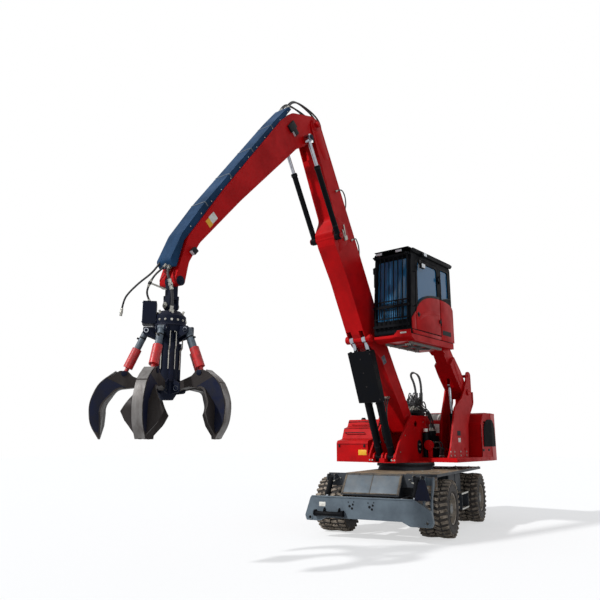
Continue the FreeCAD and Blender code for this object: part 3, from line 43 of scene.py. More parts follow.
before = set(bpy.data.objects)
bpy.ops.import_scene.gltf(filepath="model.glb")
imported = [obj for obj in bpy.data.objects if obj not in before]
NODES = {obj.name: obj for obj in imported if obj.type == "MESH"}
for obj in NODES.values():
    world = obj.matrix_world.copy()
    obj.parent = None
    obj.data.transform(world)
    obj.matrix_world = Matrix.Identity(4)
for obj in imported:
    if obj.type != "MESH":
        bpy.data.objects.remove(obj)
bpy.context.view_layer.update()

# ---- the machine's own dimensions, in metres ---------------------------------------
PARKED_SLEW = 12.5
FRONT_AXLE_X, REAR_AXLE_X = 1.35, -1.38
TYRE_R, TYRE_W, TWIN_PITCH, TRACK_OUTER = 0.535, 0.275, 0.305, 1.325
RIM_R = 0.278
WHEELS = [(end, side) for end in ("front", "rear") for side in ("left", "right")]
BLADE_X = 2.49
BOOM_FOOT, BOOM_ANGLE, BOOM_LEN, BOOM_HALF_W = (0.106, 2.151), 60.0, 6.68, 0.215
LIFT_BASE = (0.793, 1.45)
STICK_ANGLE, STICK_LEN, STICK_HALF_W = -49.8, 5.038, 0.19
ARM_PIVOT, ARM_END, ARM_Y = (-1.15, 2.87), (-0.31, 3.79), 0.78
CAB_X, CAB_Y, CAB_Z = (-0.15, 1.69), (0.35, 1.21), (3.86, 5.59)
ROTATOR_DROP, BOX_TURN, TINES, TINES_TURN = 0.678, -40.0, 5, -41.0
STICK_CYL_Y = 0.29
CAB_CYL_BASE = (-0.85, 1.6)
# How much of each cylinder's length its barrel takes up.
LIFT_SHARE, STICK_SHARE, CAB_SHARE = 0.52, 0.72, 0.56
PLATFORM_TOP = 1.434
UPPER_HALF_W = 1.218
HOOD_TOP = 2.42
BANK_Y, BANK_PITCH, TALL_LOOPS = -0.186, 0.062, ((-0.44, 0.062), (-0.37, 0.124))

# ---- the stage: where the camera stands, its yaw and pitch in degrees, its lens and the floor ----
CAMERA_AT, CAMERA_TURN = (12.455, 7.154, 1.8), (-140.8, 12.7)
LENS_MM, SENSOR_MM, FLOOR_HALF = 37.36, 36.0, 60.0


def spot(along, across, origin, angle):
    """A point given along and across a member that leans in the XZ plane."""
    c, s = math.cos(math.radians(angle)), math.sin(math.radians(angle))
    return (origin[0] + along * c - across * s, origin[1] + along * s + across * c)


ELBOW = spot(BOOM_LEN, 0.0, BOOM_FOOT, BOOM_ANGLE)
TIP = spot(STICK_LEN, 0.0, ELBOW, STICK_ANGLE)
LIFT_TOP_ON_BOOM, STICK_BASE_ON_BOOM = (2.283, -0.557), (4.493, -0.563)
LIFT_TOP = spot(*LIFT_TOP_ON_BOOM, BOOM_FOOT, BOOM_ANGLE)
STICK_BASE = spot(*STICK_BASE_ON_BOOM, BOOM_FOOT, BOOM_ANGLE)
STICK_EYE = spot(0.556, -0.024, ELBOW, STICK_ANGLE)


def turn(degrees, axis):
    """A turn about an axis."""
    return Matrix.Rotation(math.radians(degrees), 4, axis)


def leaning(origin, angle):
    """Local axes of a member: X along it, Y across the machine, Z square to both."""
    return Matrix.Translation((origin[0], 0.0, origin[1])) @ turn(-angle, "Y")


ON_BOOM = leaning(BOOM_FOOT, BOOM_ANGLE)
ON_STICK = leaning(ELBOW, STICK_ANGLE)
ARM_ANGLE = math.degrees(math.atan2(ARM_END[1] - ARM_PIVOT[1], ARM_END[0] - ARM_PIVOT[0]))
ON_ARM = leaning(ARM_PIVOT, ARM_ANGLE) @ Matrix.Translation((0.0, ARM_Y, 0.0))
CAB_EYE = spot(0.38, -0.202, ARM_PIVOT, ARM_ANGLE)
CAB_BARREL_END = CAB_SHARE * math.hypot(CAB_EYE[0] - CAB_CYL_BASE[0], CAB_EYE[1] - CAB_CYL_BASE[1])
LIFT_ANGLE = math.degrees(math.atan2(LIFT_TOP[1] - LIFT_BASE[1], LIFT_TOP[0] - LIFT_BASE[0]))
ON_LIFT = leaning(LIFT_BASE, LIFT_ANGLE)
STICK_CYL_ANGLE = math.degrees(math.atan2(STICK_EYE[1] - STICK_BASE[1], STICK_EYE[0] - STICK_BASE[0]))
ON_STICK_CYL = leaning(STICK_BASE, STICK_CYL_ANGLE)
ON_LOWER = turn(PARKED_SLEW, "Z")


# ---- what a user may change --------------------------------------------------------
class HandlerColours(bpy.types.PropertyGroup):
    """Colours of the painted parts."""
    red: bpy.props.StringProperty(name="Machine red", description="Enamel of the upper structure, boom and cab",
        default="#B8080D")
    graphite: bpy.props.StringProperty(name="Graphite",
        description="Enamel of the rotator, hanger link and grapple hub", default="#0E1426")
    black: bpy.props.StringProperty(name="Black", description="Enamel of the cylinders and guards",
        default="#0A0B0E")
    cream: bpy.props.StringProperty(name="Rim cream", description="Enamel of the wheel discs", default="#958B7E")
    dust: bpy.props.StringProperty(name="Dust", description="Yard dust lying on upward faces", default="#A08B6C")
    grapple: bpy.props.StringProperty(name="Grapple", description="Scuffed steel of the tines", default="#2E2A29")


class HandlerSizes(bpy.types.PropertyGroup):
    """Sizes of the small fittings."""
    lug_height: bpy.props.FloatProperty(name="Lug height", description="Height of a tread lug above its groove",
        default=0.02, min=0.005, max=0.03, unit="LENGTH")
    lugs: bpy.props.IntProperty(name="Lugs", description="Tread lugs round each shoulder of a tyre", default=30,
        min=12, max=48)
    hose_d: bpy.props.FloatProperty(name="Bank hose",
        description="Diameter of the hoses that rise from the valve bank", default=0.028, min=0.01, max=0.06,
        unit="LENGTH")
    bolt_d: bpy.props.FloatProperty(name="Bolt head", description="Bolt head across its corners", default=0.022,
        min=0.01, max=0.08, unit="LENGTH")
    bar_d: bpy.props.FloatProperty(name="Guard bar",
        description="Diameter of the short bars of the cab's front guard", default=0.014, min=0.008, max=0.03,
        unit="LENGTH")


def colours():
    """The colours in use."""
    return bpy.context.scene.handler_colours


def sizes():
    """The sizes in use."""
    return bpy.context.scene.handler_sizes


# ---- finishes ----------------------------------------------------------------------
FINISH = {}


def linear(code):
    """An sRGB hex value as linear numbers."""
    parts = [int(code.lstrip("#")[i:i + 2], 16) / 255.0 for i in (0, 2, 4)]
    return tuple((c / 12.92 if c <= 0.04045 else ((c + 0.055) / 1.055) ** 2.4 for c in parts)) + (1.0,)


def add(tree, kind, values=None, feeds=None, **settings):
    """Adds one node with its settings, its fixed inputs and the sockets that feed it."""
    node = tree.nodes.new("ShaderNode" + kind)
    for key, value in settings.items():
        setattr(node, key, value)
    for key, value in (values or {}).items():
        node.inputs[key].default_value = value
    for key, socket in (feeds or {}).items():
        tree.links.new(socket, node.inputs[key])
    return node


# How far apart drifts of dust lie.
DRIFT_MM = 200.0
# A colour Mix node's sockets: its factor, its two colours and its result.
MIX_FACTOR, MIX_A, MIX_B, MIXED = 0, 6, 7, 2


def bare_finish(name, colour, roughness, metallic=0.0, **sockets):
    """A material with its shader set, and its Object coordinates."""
    finish = bpy.data.materials.new(name)
    finish.use_nodes = True
    tree = finish.node_tree
    shader = tree.nodes["Principled BSDF"]
    shader.inputs["Base Color"].default_value = linear(colour)
    shader.inputs["Roughness"].default_value = roughness
    shader.inputs["Metallic"].default_value = metallic
    for key, value in sockets.items():
        shader.inputs[key.replace("_", " ").title().replace("Ior", "IOR")].default_value = value
    finish.diffuse_color = linear(colour)
    where = add(tree, "TexCoord").outputs["Object"]
    return (finish, tree, shader, where)


def weathered(key, name, colour, second, roughness, spread, patch_mm, grain_mm, bump, dust=0.0, metallic=0.0,
        streak=None, **sockets):
    """Paint, rubber or steel with patchy colour, uneven gloss, a fine surface and dust on what faces up."""
    finish, tree, shader, where = bare_finish(name, colour, roughness, metallic, **sockets)
    stretched = where
    if streak:
        stretched = add(tree, "Mapping", {"Scale": streak}, {"Vector": where}).outputs["Vector"]
    patches = add(tree, "TexNoise", {"Scale": 1000.0 / patch_mm, "Detail": 5.0, "Roughness": 0.62},
        {"Vector": stretched})
    grain = add(tree, "TexNoise", {"Scale": 1000.0 / grain_mm, "Detail": 3.0, "Roughness": 0.5}, {"Vector": where})
    ramp = add(tree, "MapRange", {"From Min": 0.38, "From Max": 0.66}, {"Value": patches.outputs["Fac"]})
    tone = add(tree, "Mix", {MIX_A: linear(colour), MIX_B: linear(second)}, {MIX_FACTOR: ramp.outputs["Result"]},
        data_type="RGBA")
    surface = tone.outputs[MIXED]
    gloss = add(tree, "MapRange", {"From Min": 0.3, "From Max": 0.7, "To Min": max(0.03, roughness - spread),
        "To Max": min(1.0, roughness + spread)}, {"Value": patches.outputs["Fac"]})
    rough = gloss.outputs["Result"]
    if dust > 0.0:
        facing = add(tree, "NewGeometry")
        split = add(tree, "SeparateXYZ", None, {"Vector": facing.outputs["Normal"]})
        up = add(tree, "MapRange", {"From Min": 0.35, "From Max": 0.98, "To Max": dust},
            {"Value": split.outputs["Z"]})
        drift = add(tree, "TexNoise", {"Scale": 1000.0 / DRIFT_MM, "Detail": 7.0, "Roughness": 0.68},
            {"Vector": where})
        lie = add(tree, "MapRange", {"From Min": 0.34, "From Max": 0.62, "To Min": 0.12},
            {"Value": drift.outputs["Fac"]})
        amount = add(tree, "Math", None, {0: up.outputs["Result"], 1: lie.outputs["Result"]}, operation="MULTIPLY")
        laid = add(tree, "Mix", {MIX_B: linear(colours().dust)}, {MIX_FACTOR: amount.outputs[0], MIX_A: surface},
            data_type="RGBA")
        surface = laid.outputs[MIXED]
        dull = add(tree, "Mix", {3: 0.85}, {0: amount.outputs[0], 2: rough})
        rough = dull.outputs[0]
    tree.links.new(surface, shader.inputs["Base Color"])
    tree.links.new(rough, shader.inputs["Roughness"])
    relief = add(tree, "Bump", {"Strength": bump, "Distance": 0.001}, {"Height": grain.outputs["Fac"]})
    tree.links.new(relief.outputs["Normal"], shader.inputs["Normal"])
    FINISH[key] = finish


def make_finishes():
    """Every finish of the machine, named for what it is and how it was made."""
    c = colours()
    # Sprayed two-pack polyurethane on welded plate: deep colour, clear gloss, faint orange peel and yard dust.
    weathered("red", "sprayed_polyurethane_red", c.red, "#9C060A", 0.45, 0.1, 420.0, 6.0, 0.08, 0.02,
        specular_ior_level=0.1)
    # The same paint over the rough skin of a sand casting.
    weathered("casting", "sprayed_polyurethane_on_casting", c.red, "#980A0E", 0.45, 0.1, 300.0, 9.0, 0.22, 0.04,
        specular_ior_level=0.18)
    # Sprayed graphite polyurethane: satin, dulled by dust on every upward face.
    weathered("graphite", "sprayed_polyurethane_graphite", c.graphite, "#171B27", 0.55, 0.12, 350.0, 6.0, 0.12,
        0.03, specular_ior_level=0.08)
    # Undercarriage plate under a film of pale dust, its graphite painted near black for the shade it stands in.
    weathered("dusty_graphite_painted_shade", "dusted_polyurethane_graphite_painted_shade", "#24282E", "#33373C", 0.6, 0.12, 260.0, 5.0, 0.15,
        0.75, specular_ior_level=0.3)
    # The blade and nose cover: paler slate enamel, thinly dusted.
    weathered("slate", "sprayed_polyurethane_slate", "#59656E", "#4A545D", 0.5, 0.12, 300.0, 5.0, 0.12, 0.22,
        specular_ior_level=0.35)
    # The stick's hose cover and the rotator's box lid: dark grey enamel painted blue for the sky's reflection and
    # the shade on them.
    weathered("sky_reflection_slate", "polyurethane_painted_sky_reflection", "#1C3D5E", "#17304A", 0.6, 0.1, 380.0, 5.0, 0.08, 0.01,
        specular_ior_level=0.08)
    # Plate caked with yard dust beside the front wheel.
    weathered("caked", "dust_caked_plate", "#8B7968", "#6E5F52", 0.85, 0.08, 90.0, 4.0, 0.3)
    # Stoved black enamel on cylinder tubes.
    weathered("black", "stoved_enamel_black", c.black, "#0A0C11", 0.55, 0.12, 240.0, 5.0, 0.08, 0.01,
        specular_ior_level=0.06)
    # Grey-blue primer-like enamel of the grapple's cylinders, scuffed by scrap.
    weathered("grey_blue", "scuffed_enamel_grey_blue", "#4C5965", "#333B44", 0.5, 0.15, 60.0, 4.0, 0.25, 0.1)
    # Worn red enamel on the grapple's rod guards.
    weathered("guard_red", "worn_enamel_red", "#C01A1C", "#8E1416", 0.4, 0.15, 70.0, 4.0, 0.25, 0.1)
    # Wear plate of the tines: scoured by scrap to grey steel, with brown film in the hollows.
    weathered("tine", "scoured_wear_plate", c.grapple, "#241F1E", 0.52, 0.16, 150.0, 3.0, 0.3, 0.03, metallic=0.2,
        specular_ior_level=0.2, streak=(1.0, 1.0, 0.35))
    # The backs of the tines, where scrap keeps them ground bright, painted paler still for the sunlight on them.
    weathered("scoured_and_sunlit", "scoured_sunlit_tine_back", "#7A7775", "#57524F", 0.46, 0.14, 120.0, 3.0, 0.25, metallic=0.35,
        streak=(1.0, 1.0, 0.3))
    # Dark enamel rubbed thin on the grapple's flanks, painted blue-black for the shade and the sky's reflection on
    # those sides.
    weathered("navy", "blue_black_enamel_and_painted_shade", "#10162D", "#1A1B25", 0.52, 0.14, 140.0, 3.0, 0.2, 0.02,
        specular_ior_level=0.12)
    # Hard chrome on ground steel: mirror-bright with a thin oil film.
    weathered("chrome", "ground_hard_chrome", "#A9ADB4", "#8F949C", 0.14, 0.05, 90.0, 2.0, 0.03, metallic=1.0)
    # Carbon-black tyre rubber: brown-black sidewall, road dust pressed into the tread.
    weathered("rubber", "moulded_tyre_rubber", "#1D1917", "#2C2622", 0.8, 0.1, 120.0, 3.0, 0.35)
    # The tread alone: the same rubber under pale road dust, painted paler still for the sunlight on the lugs.
    weathered("tread", "dusty_sunlit_tyre_tread", "#94887A", "#40382F", 0.88, 0.06, 90.0, 4.0, 0.5)
    # Sprayed rim enamel, dusted.
    weathered("cream", "sprayed_rim_enamel_cream", c.cream, "#746B60", 0.5, 0.12, 80.0, 4.0, 0.15, 0.1)
    # Cast hubs: old paint under brake dust.
    weathered("hub", "dusted_hub_paint", "#5E6469", "#7B7263", 0.6, 0.1, 60.0, 4.0, 0.2, 0.3)
    # Zinc-plated steel fittings and machined pins.
    weathered("zinc", "zinc_plated_steel", "#A9A79F", "#8B8A84", 0.34, 0.1, 30.0, 2.0, 0.12, metallic=0.9)
    # Hydraulic hose: ribbed synthetic rubber, matt with a slight sheen.
    weathered("hose", "wrapped_hose_rubber", "#0D0D10", "#17171B", 0.55, 0.1, 40.0, 2.0, 0.25)
    # Moulded ABS of mirrors, lamp bodies and consoles.
    weathered("abs", "moulded_abs_black", "#0A0B0E", "#101115", 0.55, 0.08, 60.0, 1.5, 0.12,
        specular_ior_level=0.15)
    # Perforated and slotted sheet of the grilles, powder coated.
    weathered("grille", "powder_coated_grille", "#050608", "#0A0B0D", 0.7, 0.08, 60.0, 2.0, 0.15,
        specular_ior_level=0.05)
    # Woven seat cloth.
    weathered("cloth", "woven_seat_cloth", "#232427", "#2E3034", 0.92, 0.04, 40.0, 1.2, 0.5)
    # Blank plates: matt film in yellow or white, with nothing printed on it.
    weathered("plate_yellow", "matt_film_yellow", "#E0A81C", "#D39A17", 0.5, 0.05, 60.0, 2.0, 0.04)
    weathered("plate_pale", "matt_film_pale", "#D8D6CF", "#C6C3BA", 0.5, 0.05, 60.0, 2.0, 0.04)
    # Clear polycarbonate over a reflector.
    weathered("lens", "moulded_lamp_lens", "#D9DDE0", "#C3C9CE", 0.12, 0.04, 20.0, 4.0, 0.1, coat_weight=0.6)
    # The beacon's dome: the same moulding in amber.
    weathered("amber", "moulded_amber_lens", "#D9741A", "#C46512", 0.2, 0.04, 20.0, 4.0, 0.1, coat_weight=0.6)
    # Laminated safety glass: painted sky-blue for the sky's reflection, with the dark cab behind it, wiped in broad
    # smears.
    glass, tree, shader, where = bare_finish("laminated_cab_glass_painted_reflection", "#2E6C98", 0.04, ior=1.5)
    shader.inputs["Alpha"].default_value = 0.78
    shader.inputs["Specular IOR Level"].default_value = 0.5
    film = add(tree, "TexNoise", {"Scale": 3.0, "Detail": 5.0}, {"Vector": where})
    smear = add(tree, "MapRange", {"From Min": 0.3, "From Max": 0.8, "To Min": 0.03, "To Max": 0.12},
        {"Value": film.outputs["Fac"]})
    tree.links.new(smear.outputs["Result"], shader.inputs["Roughness"])
    FINISH["glass"] = glass


def pale_rays(tree):
    """1 for the rays that should see the pale background: the camera's, and those in metal and glass."""
    path = add(tree, "LightPath")
    either = add(tree, "Math", None, {0: path.outputs["Is Camera Ray"], 1: path.outputs["Is Glossy Ray"]},
        operation="MAXIMUM")
    return add(tree, "Math", None, {0: either.outputs[0], 1: path.outputs["Is Transmission Ray"]},
        operation="MAXIMUM").outputs[0]


def paint(node, finish):
    """Gives a carried-over CAD node its finish."""
    obj = NODES[node]
    obj.data.materials.clear()
    obj.data.materials.append(FINISH[finish])


# ---- how pieces are shaped ------------------------------------------------------------
MERGE = 1e-05
SHARP, BEVEL_OVER = math.radians(32), math.radians(40)
AXES = {"X": (1.0, 0.0, 0.0), "Y": (0.0, 1.0, 0.0), "Z": (0.0, 0.0, 1.0)}


def shown(name, data):
    """An object of this data, linked to the scene."""
    obj = bpy.data.objects.new(name, data)
    bpy.context.scene.collection.objects.link(obj)
    return obj


def built(name, form, finishes, sharp=None):
    """An object from a filled bmesh, shaded smooth up to an angle, or flat where none is given."""
    mesh = bpy.data.meshes.new(name)
    form.to_mesh(mesh)
    form.free()
    for finish in finishes:
        mesh.materials.append(FINISH[finish])
    if sharp:
        mesh.polygons.foreach_set("use_smooth", [True] * len(mesh.polygons))
        mesh.set_sharp_from_angle(angle=sharp)
    return shown(name, mesh)


def piece(name, body, finish, shape, place=None, smooth=True, bevel=0.0):
    """A new rigid piece: shape is a function or a list of (maker, values), in axes that place sets down."""
    form = bmesh.new()
    if callable(shape):
        shape(form)
    else:
        for make, *given in shape:
            make(form, *given)
    bmesh.ops.remove_doubles(form, verts=form.verts, dist=MERGE)
    if bevel > 0.0:
        sharp = [e for e in form.edges if len(e.link_faces) == 2 and e.calc_face_angle(0.0) > BEVEL_OVER]
        bmesh.ops.bevel(form, geom=sharp, offset=bevel, offset_type="OFFSET", segments=2, profile=0.5,
            affect="EDGES", material=-1)
    bmesh.ops.recalc_face_normals(form, faces=form.faces)
    if place is not None:
        bmesh.ops.transform(form, matrix=place, verts=form.verts)
    obj = built(name, form, [finish], SHARP if smooth else None)
    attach(obj, body)
    return obj


def block(form, low, high, place=None):
    """A box between two corners."""
    middle = (Vector(low) + Vector(high)) / 2
    size = Vector(high) - Vector(low)
    at = Matrix.Translation(middle) @ Matrix.Diagonal((size.x, size.y, size.z, 1.0))
    bmesh.ops.create_cube(form, size=1.0, matrix=place @ at if place is not None else at)


def bar(form, start, end, radius, sides=16, end_radius=None):
    """A round bar or cone between two points."""
    a, b = Vector(start), Vector(end)
    along = (b - a).to_track_quat("Z", "Y").to_matrix().to_4x4()
    bmesh.ops.create_cone(form, cap_ends=True, segments=sides, radius1=radius,
        radius2=radius if end_radius is None else end_radius, depth=(b - a).length,
        matrix=Matrix.Translation((a + b) / 2) @ along)


def collar(form, low, high, inner, outer, y=0.0, sides=28):
    """A ring round the local X axis."""
    lathe(form, [(inner, low), (inner, high), (outer, high), (outer, low)], sides, "X", (0.0, y, 0.0), closed=True)


def bolt(form, at, way, size=None, washer=True):
    """A hexagon head on its washer, standing on a face."""
    size = size or sizes().bolt_d
    a, w = Vector(at), Vector(way).normalized()
    if washer:
        bar(form, a - w * 0.001, a + w * size * 0.1, size * 0.72, 16)
    bar(form, a, a + w * size * 0.5, size * 0.5, 6)


def slab(form, points, low, high, axis=1):
    """A flat outline given a thickness along Y, or along another axis by its number."""

    def corner(point, depth):
        return (*point[:axis], depth, *point[axis:])
    face = form.faces.new([form.verts.new(corner(p, low)) for p in points])
    grown = bmesh.ops.extrude_face_region(form, geom=[face])["geom"]
    bmesh.ops.translate(form, verts=[v for v in grown if isinstance(v, bmesh.types.BMVert)],
        vec=corner((0.0, 0.0), high - low))


def lathe(form, profile, steps, axis="Y", shift=(0.0, 0.0, 0.0), closed=False):
    """A (radius, along the axis) outline spun once round a local axis."""
    place = {"X": lambda r, a: (a, 0.0, r), "Y": lambda r, a: (r, a, 0.0), "Z": lambda r, a: (r, 0.0, a)}[axis]
    verts = [form.verts.new(Vector(place(r, a)) + Vector(shift)) for r, a in profile]
    edges = [form.edges.new(pair) for pair in zip(verts, verts[1:] + verts[:1] if closed else verts[1:])]
    bmesh.ops.spin(form, geom=verts + edges, cent=shift, axis=AXES[axis], angle=math.tau, steps=steps,
        use_merge=True, use_duplicate=False)


def since(form, first=0):
    """Everything added to a form since the vertex with this number."""
    form.verts.ensure_lookup_table()
    verts = form.verts[first:]
    return verts + list({e for v in verts for e in v.link_edges}) + list({f for v in verts for f in v.link_faces})


def copies(form, geom, count, axis):
    """Repeats a shape round an axis."""
    bmesh.ops.spin(form, geom=geom, cent=(0.0, 0.0, 0.0), axis=AXES[axis], angle=math.tau, steps=count,
        use_duplicate=True, use_merge=False)


def shifted(form, first, place):
    """Moves what was added since the vertex with this number."""
    form.verts.ensure_lookup_table()
    bmesh.ops.transform(form, matrix=place, verts=form.verts[first:])


def rods(form, run, y, radius, sides):
    """Straight bars from point to point of an XZ run, at one Y."""
    for (ax, az), (bx, bz) in zip(run, run[1:]):
        bar(form, (ax, y, az), (bx, y, bz), radius, sides)


def flank_caps(form, x, z, at, thick, radius, sides=24):
    """A round cap on both flanks, its inner face at a distance from the middle."""
    for side in (-1, 1):
        bar(form, (x, side * at, z), (x, side * (at + thick), z), radius, sides)


def flank_slabs(form, points, at, thick):
    """The same flat outline on both flanks, its inner face at a distance from the middle."""
    for side in (-1, 1):
        slab(form, points, *sorted((side * at, side * (at + thick))))


def flank_blocks(form, x, z, at, thick):
    """A box on both flanks, between two X and two Z."""
    for side in (-1, 1):
        low, high = sorted((side * at, side * (at + thick)))
        block(form, (x[0], low, z[0]), (x[1], high, z[1]))


def ring_bolts(form, x, z, y, side, radius, count, first, size=None):
    """Bolts on a circle round a pin, standing on one flank."""
    for index in range(count):
        a = math.tau * index / count + first
        bolt(form, (x + radius * math.cos(a), y, z + radius * math.sin(a)), (0, side, 0), size)


def line(name, points, diameter, resolution=6):
    """A smooth curve through control points with a round section."""
    curve = bpy.data.curves.new(name, "CURVE")
    curve.dimensions = "3D"
    spline = curve.splines.new("NURBS")
    spline.points.add(len(points) - 1)
    for p, at in zip(spline.points, points):
        p.co = (at[0], at[1], at[2], 1.0)
    spline.order_u = 3
    spline.use_endpoint_u = True
    spline.resolution_u = resolution
    curve.bevel_depth = diameter / 2
    curve.bevel_resolution = 3
    curve.use_fill_caps = True
    return curve


def hose(name, body, points, d, place=None, blend=None, ferrules=True):
    """A fixed hydraulic line: a round smooth tube with a crimped ferrule at each end."""
    at = [Vector(p) for p in points]
    if place is not None:
        at = [place @ p for p in at]
    made = shown(name + "_line", line(name + "_line", at, d))
    bpy.context.view_layer.update()
    mesh = bpy.data.meshes.new_from_object(made.evaluated_get(bpy.context.evaluated_depsgraph_get()))
    bpy.data.objects.remove(made)
    form = bmesh.new()
    form.from_mesh(mesh)
    bpy.data.meshes.remove(mesh)
    tube_faces = len(form.faces)
    if ferrules:
        for a, b in ((at[0], at[1]), (at[-1], at[-2])):
            way = (b - a).normalized()
            bar(form, a - way * 0.004, a + way * d * 1.9, d * 0.66, 14)
            bar(form, a - way * 0.006, a + way * d * 0.5, d * 0.86, 6)
    form.faces.ensure_lookup_table()
    for face in form.faces[tube_faces:]:
        face.material_index = 1
    bmesh.ops.recalc_face_normals(form, faces=form.faces)
    obj = built(name, form, ["hose", "zinc"], BEVEL_OVER)
    if blend:
        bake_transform(obj)
    else:
        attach(obj, body)
    return obj


def set_finishes():
    make_finishes()
    groups = {"red": ["upper_frame", "engine_hood", "side_tank", "cab_tower", "boom", "stick", "cab_carrier",
        "cab_arm", "cab_link"], "casting": ["counterweight"], "dusty_graphite_painted_shade": ["chassis_frame",
        "undercarriage_covers", "axles_and_drive_shaft", "steering_knuckle_left", "steering_knuckle_right",
        "tie_rod"], "slate": ["blade"], "sky_reflection_slate": ["stick_hose_cover"],
        "graphite": ["grapple_hub", "rotator_head", "hanger_link"],
        "black": ["cab_door", "lift_cylinder_barrels", "lift_rod_guard", "stick_cylinder_barrels",
        "blade_cylinder_barrels", "cab_cylinder_barrel", "engine_and_valve_block", "cab_frame"],
        "chrome": ["lift_cylinder_rods", "stick_cylinder_rods", "blade_cylinder_rods", "cab_cylinder_rod"],
        "glass": ["cab_glass"], "cloth": ["cab_seat_and_consoles"], "hose": ["hanging_hose"],
        "zinc": ["hose_fitting"], "tine": ["tine_%d" % i for i in range(1, TINES + 1)],
        "grey_blue": ["tine_barrel_%d" % i for i in range(1, TINES + 1)],
        "guard_red": ["tine_rod_%d" % i for i in range(1, TINES + 1)],
        "rubber": ["tyres_%s_%s" % wheel for wheel in WHEELS], "cream": ["rims_%s_%s" % wheel for wheel in WHEELS]}
    for finish, nodes in groups.items():
        for node in nodes:
            paint(node, finish)


class HANDLER_OT_finishes(bpy.types.Operator):
    """Paint every carried-over solid."""
    bl_idname = "handler.finishes"
    bl_label = "Finishes"

    def execute(self, context):
        set_finishes()
        return {"FINISHED"}


def set_stage(context):
    scene = context.scene
    scene.view_settings.view_transform = "Standard"
    paper, tree, shader, where = bare_finish("matt_studio_paper", "#FFFFFF", 1.0)
    seen = pale_rays(tree)
    glow = add(tree, "Emission", {"Color": (1.0, 1.0, 1.0, 1.0), "Strength": 1.0})
    grain = add(tree, "TexNoise", {"Scale": 2.0, "Detail": 4.0}, {"Vector": where})
    shade = add(tree, "MapRange", {"To Min": 0.55, "To Max": 0.6}, {"Value": grain.outputs["Fac"]})
    tone = add(tree, "Mix", {MIX_A: linear("#B4B4B4"), MIX_B: linear("#FFFFFF")}, {MIX_FACTOR: seen},
        data_type="RGBA")
    tree.links.new(tone.outputs[MIXED], shader.inputs["Base Color"])
    show = add(tree, "Math", None, {0: seen, 1: shade.outputs["Result"]}, operation="MULTIPLY")
    mixed = add(tree, "MixShader", None, {0: show.outputs[0], 1: shader.outputs[0], 2: glow.outputs[0]})
    tree.links.new(mixed.outputs[0], tree.nodes["Material Output"].inputs["Surface"])
    form = bmesh.new()
    bmesh.ops.create_grid(form, x_segments=2, y_segments=2, size=FLOOR_HALF)
    FINISH["paper"] = paper
    built("floor", form, ["paper"])
    world = bpy.data.worlds.new("studio")
    scene.world = world
    world.use_nodes = True
    sky = world.node_tree
    sky.nodes["Background"].inputs["Color"].default_value = (0.86, 0.92, 1.0, 1.0)
    sky.nodes["Background"].inputs["Strength"].default_value = 0.4
    white = add(sky, "Background", {"Color": (1.0, 1.0, 1.0, 1.0), "Strength": 1.0})
    join = add(sky, "MixShader", None, {0: pale_rays(sky), 1: sky.nodes["Background"].outputs[0],
        2: white.outputs[0]})
    sky.links.new(join.outputs[0], sky.nodes["World Output"].inputs["Surface"])
    for name, kind, energy, at, aim, size in (("key", "SUN", 3.1, (14.0, -5.0, 13.0), (0.0, 0.0, 2.0), 0.05),
            ("fill", "SUN", 0.38, (8.0, 16.0, 6.0), (0.0, 0.0, 3.0), 0.6)):
        data = bpy.data.lights.new(name, kind)
        data.energy = energy
        data.angle = size
        lamp = shown(name, data)
        lamp.location = at
        lamp.rotation_euler = (Vector(aim) - Vector(at)).to_track_quat("-Z", "Y").to_euler()
    lens = bpy.data.cameras.new("camera")
    lens.lens, lens.sensor_width = LENS_MM, SENSOR_MM
    camera = shown("camera", lens)
    yaw, pitch = map(math.radians, CAMERA_TURN)
    look = Vector((math.cos(pitch) * math.cos(yaw), math.cos(pitch) * math.sin(yaw), math.sin(pitch)))
    camera.location = CAMERA_AT
    camera.rotation_euler = look.to_track_quat("-Z", "Y").to_euler()
    scene.camera = camera


class HANDLER_OT_stage(bpy.types.Operator):
    """Pale floor, soft light and the camera."""
    bl_idname = "handler.stage"
    bl_label = "Stage"

    def execute(self, context):
        set_stage(context)
        return {"FINISHED"}


def dress_hanging_hose():
    route = [(6.86, -0.1, 4.38), (6.9, -0.16, 4.27), (6.91, -0.29, 4.2), (6.92, -0.48, 4.13), (6.93, -0.72, 4.01),
        (6.945, -0.83, 3.9), (6.95, -0.85, 3.77)]
    loose = shown("hanging_hose_rubber", line("hanging_hose_rubber", route, 0.03, 12))
    loose.data.materials.append(FINISH["hose"])
    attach(loose, "stick")
    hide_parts("hanging_hose")
    way = (Vector(route[-1]) - Vector(route[-2])).normalized()
    end = Vector(route[-1])

    plug = piece("hose_coupling", "stick", "zinc", [
        (bar, end + way * 0.001, end + way * 0.06, 0.0205, 20),
        (bar, end + way * 0.052, end + way * 0.078, 0.026, 6),
        (bar, end + way * 0.076, end + way * 0.118, 0.0215, 20),
        *[(bar, end + way * (0.012 + 0.011 * ring), end + way * (0.017 + 0.011 * ring), 0.0225, 20)
            for ring in range(4)]], bevel=0.0012)
    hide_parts("hose_fitting")


class HANDLER_OT_hanging_hose(bpy.types.Operator):
    """The free hose that hangs beside the stick's tip."""
    bl_idname = "handler.hanging_hose"
    bl_label = "Hanging Hose"

    def execute(self, context):
        dress_hanging_hose()
        return {"FINISHED"}


def wheel_place(end, side):
    """Local axes of a wheel: Y outwards along its axle."""
    x = FRONT_AXLE_X if end == "front" else REAR_AXLE_X
    flip = Matrix.Identity(4) if side == "left" else Matrix.Rotation(math.pi, 4, "Z")
    return ON_LOWER @ Matrix.Translation((x, 0.0, TYRE_R)) @ flip


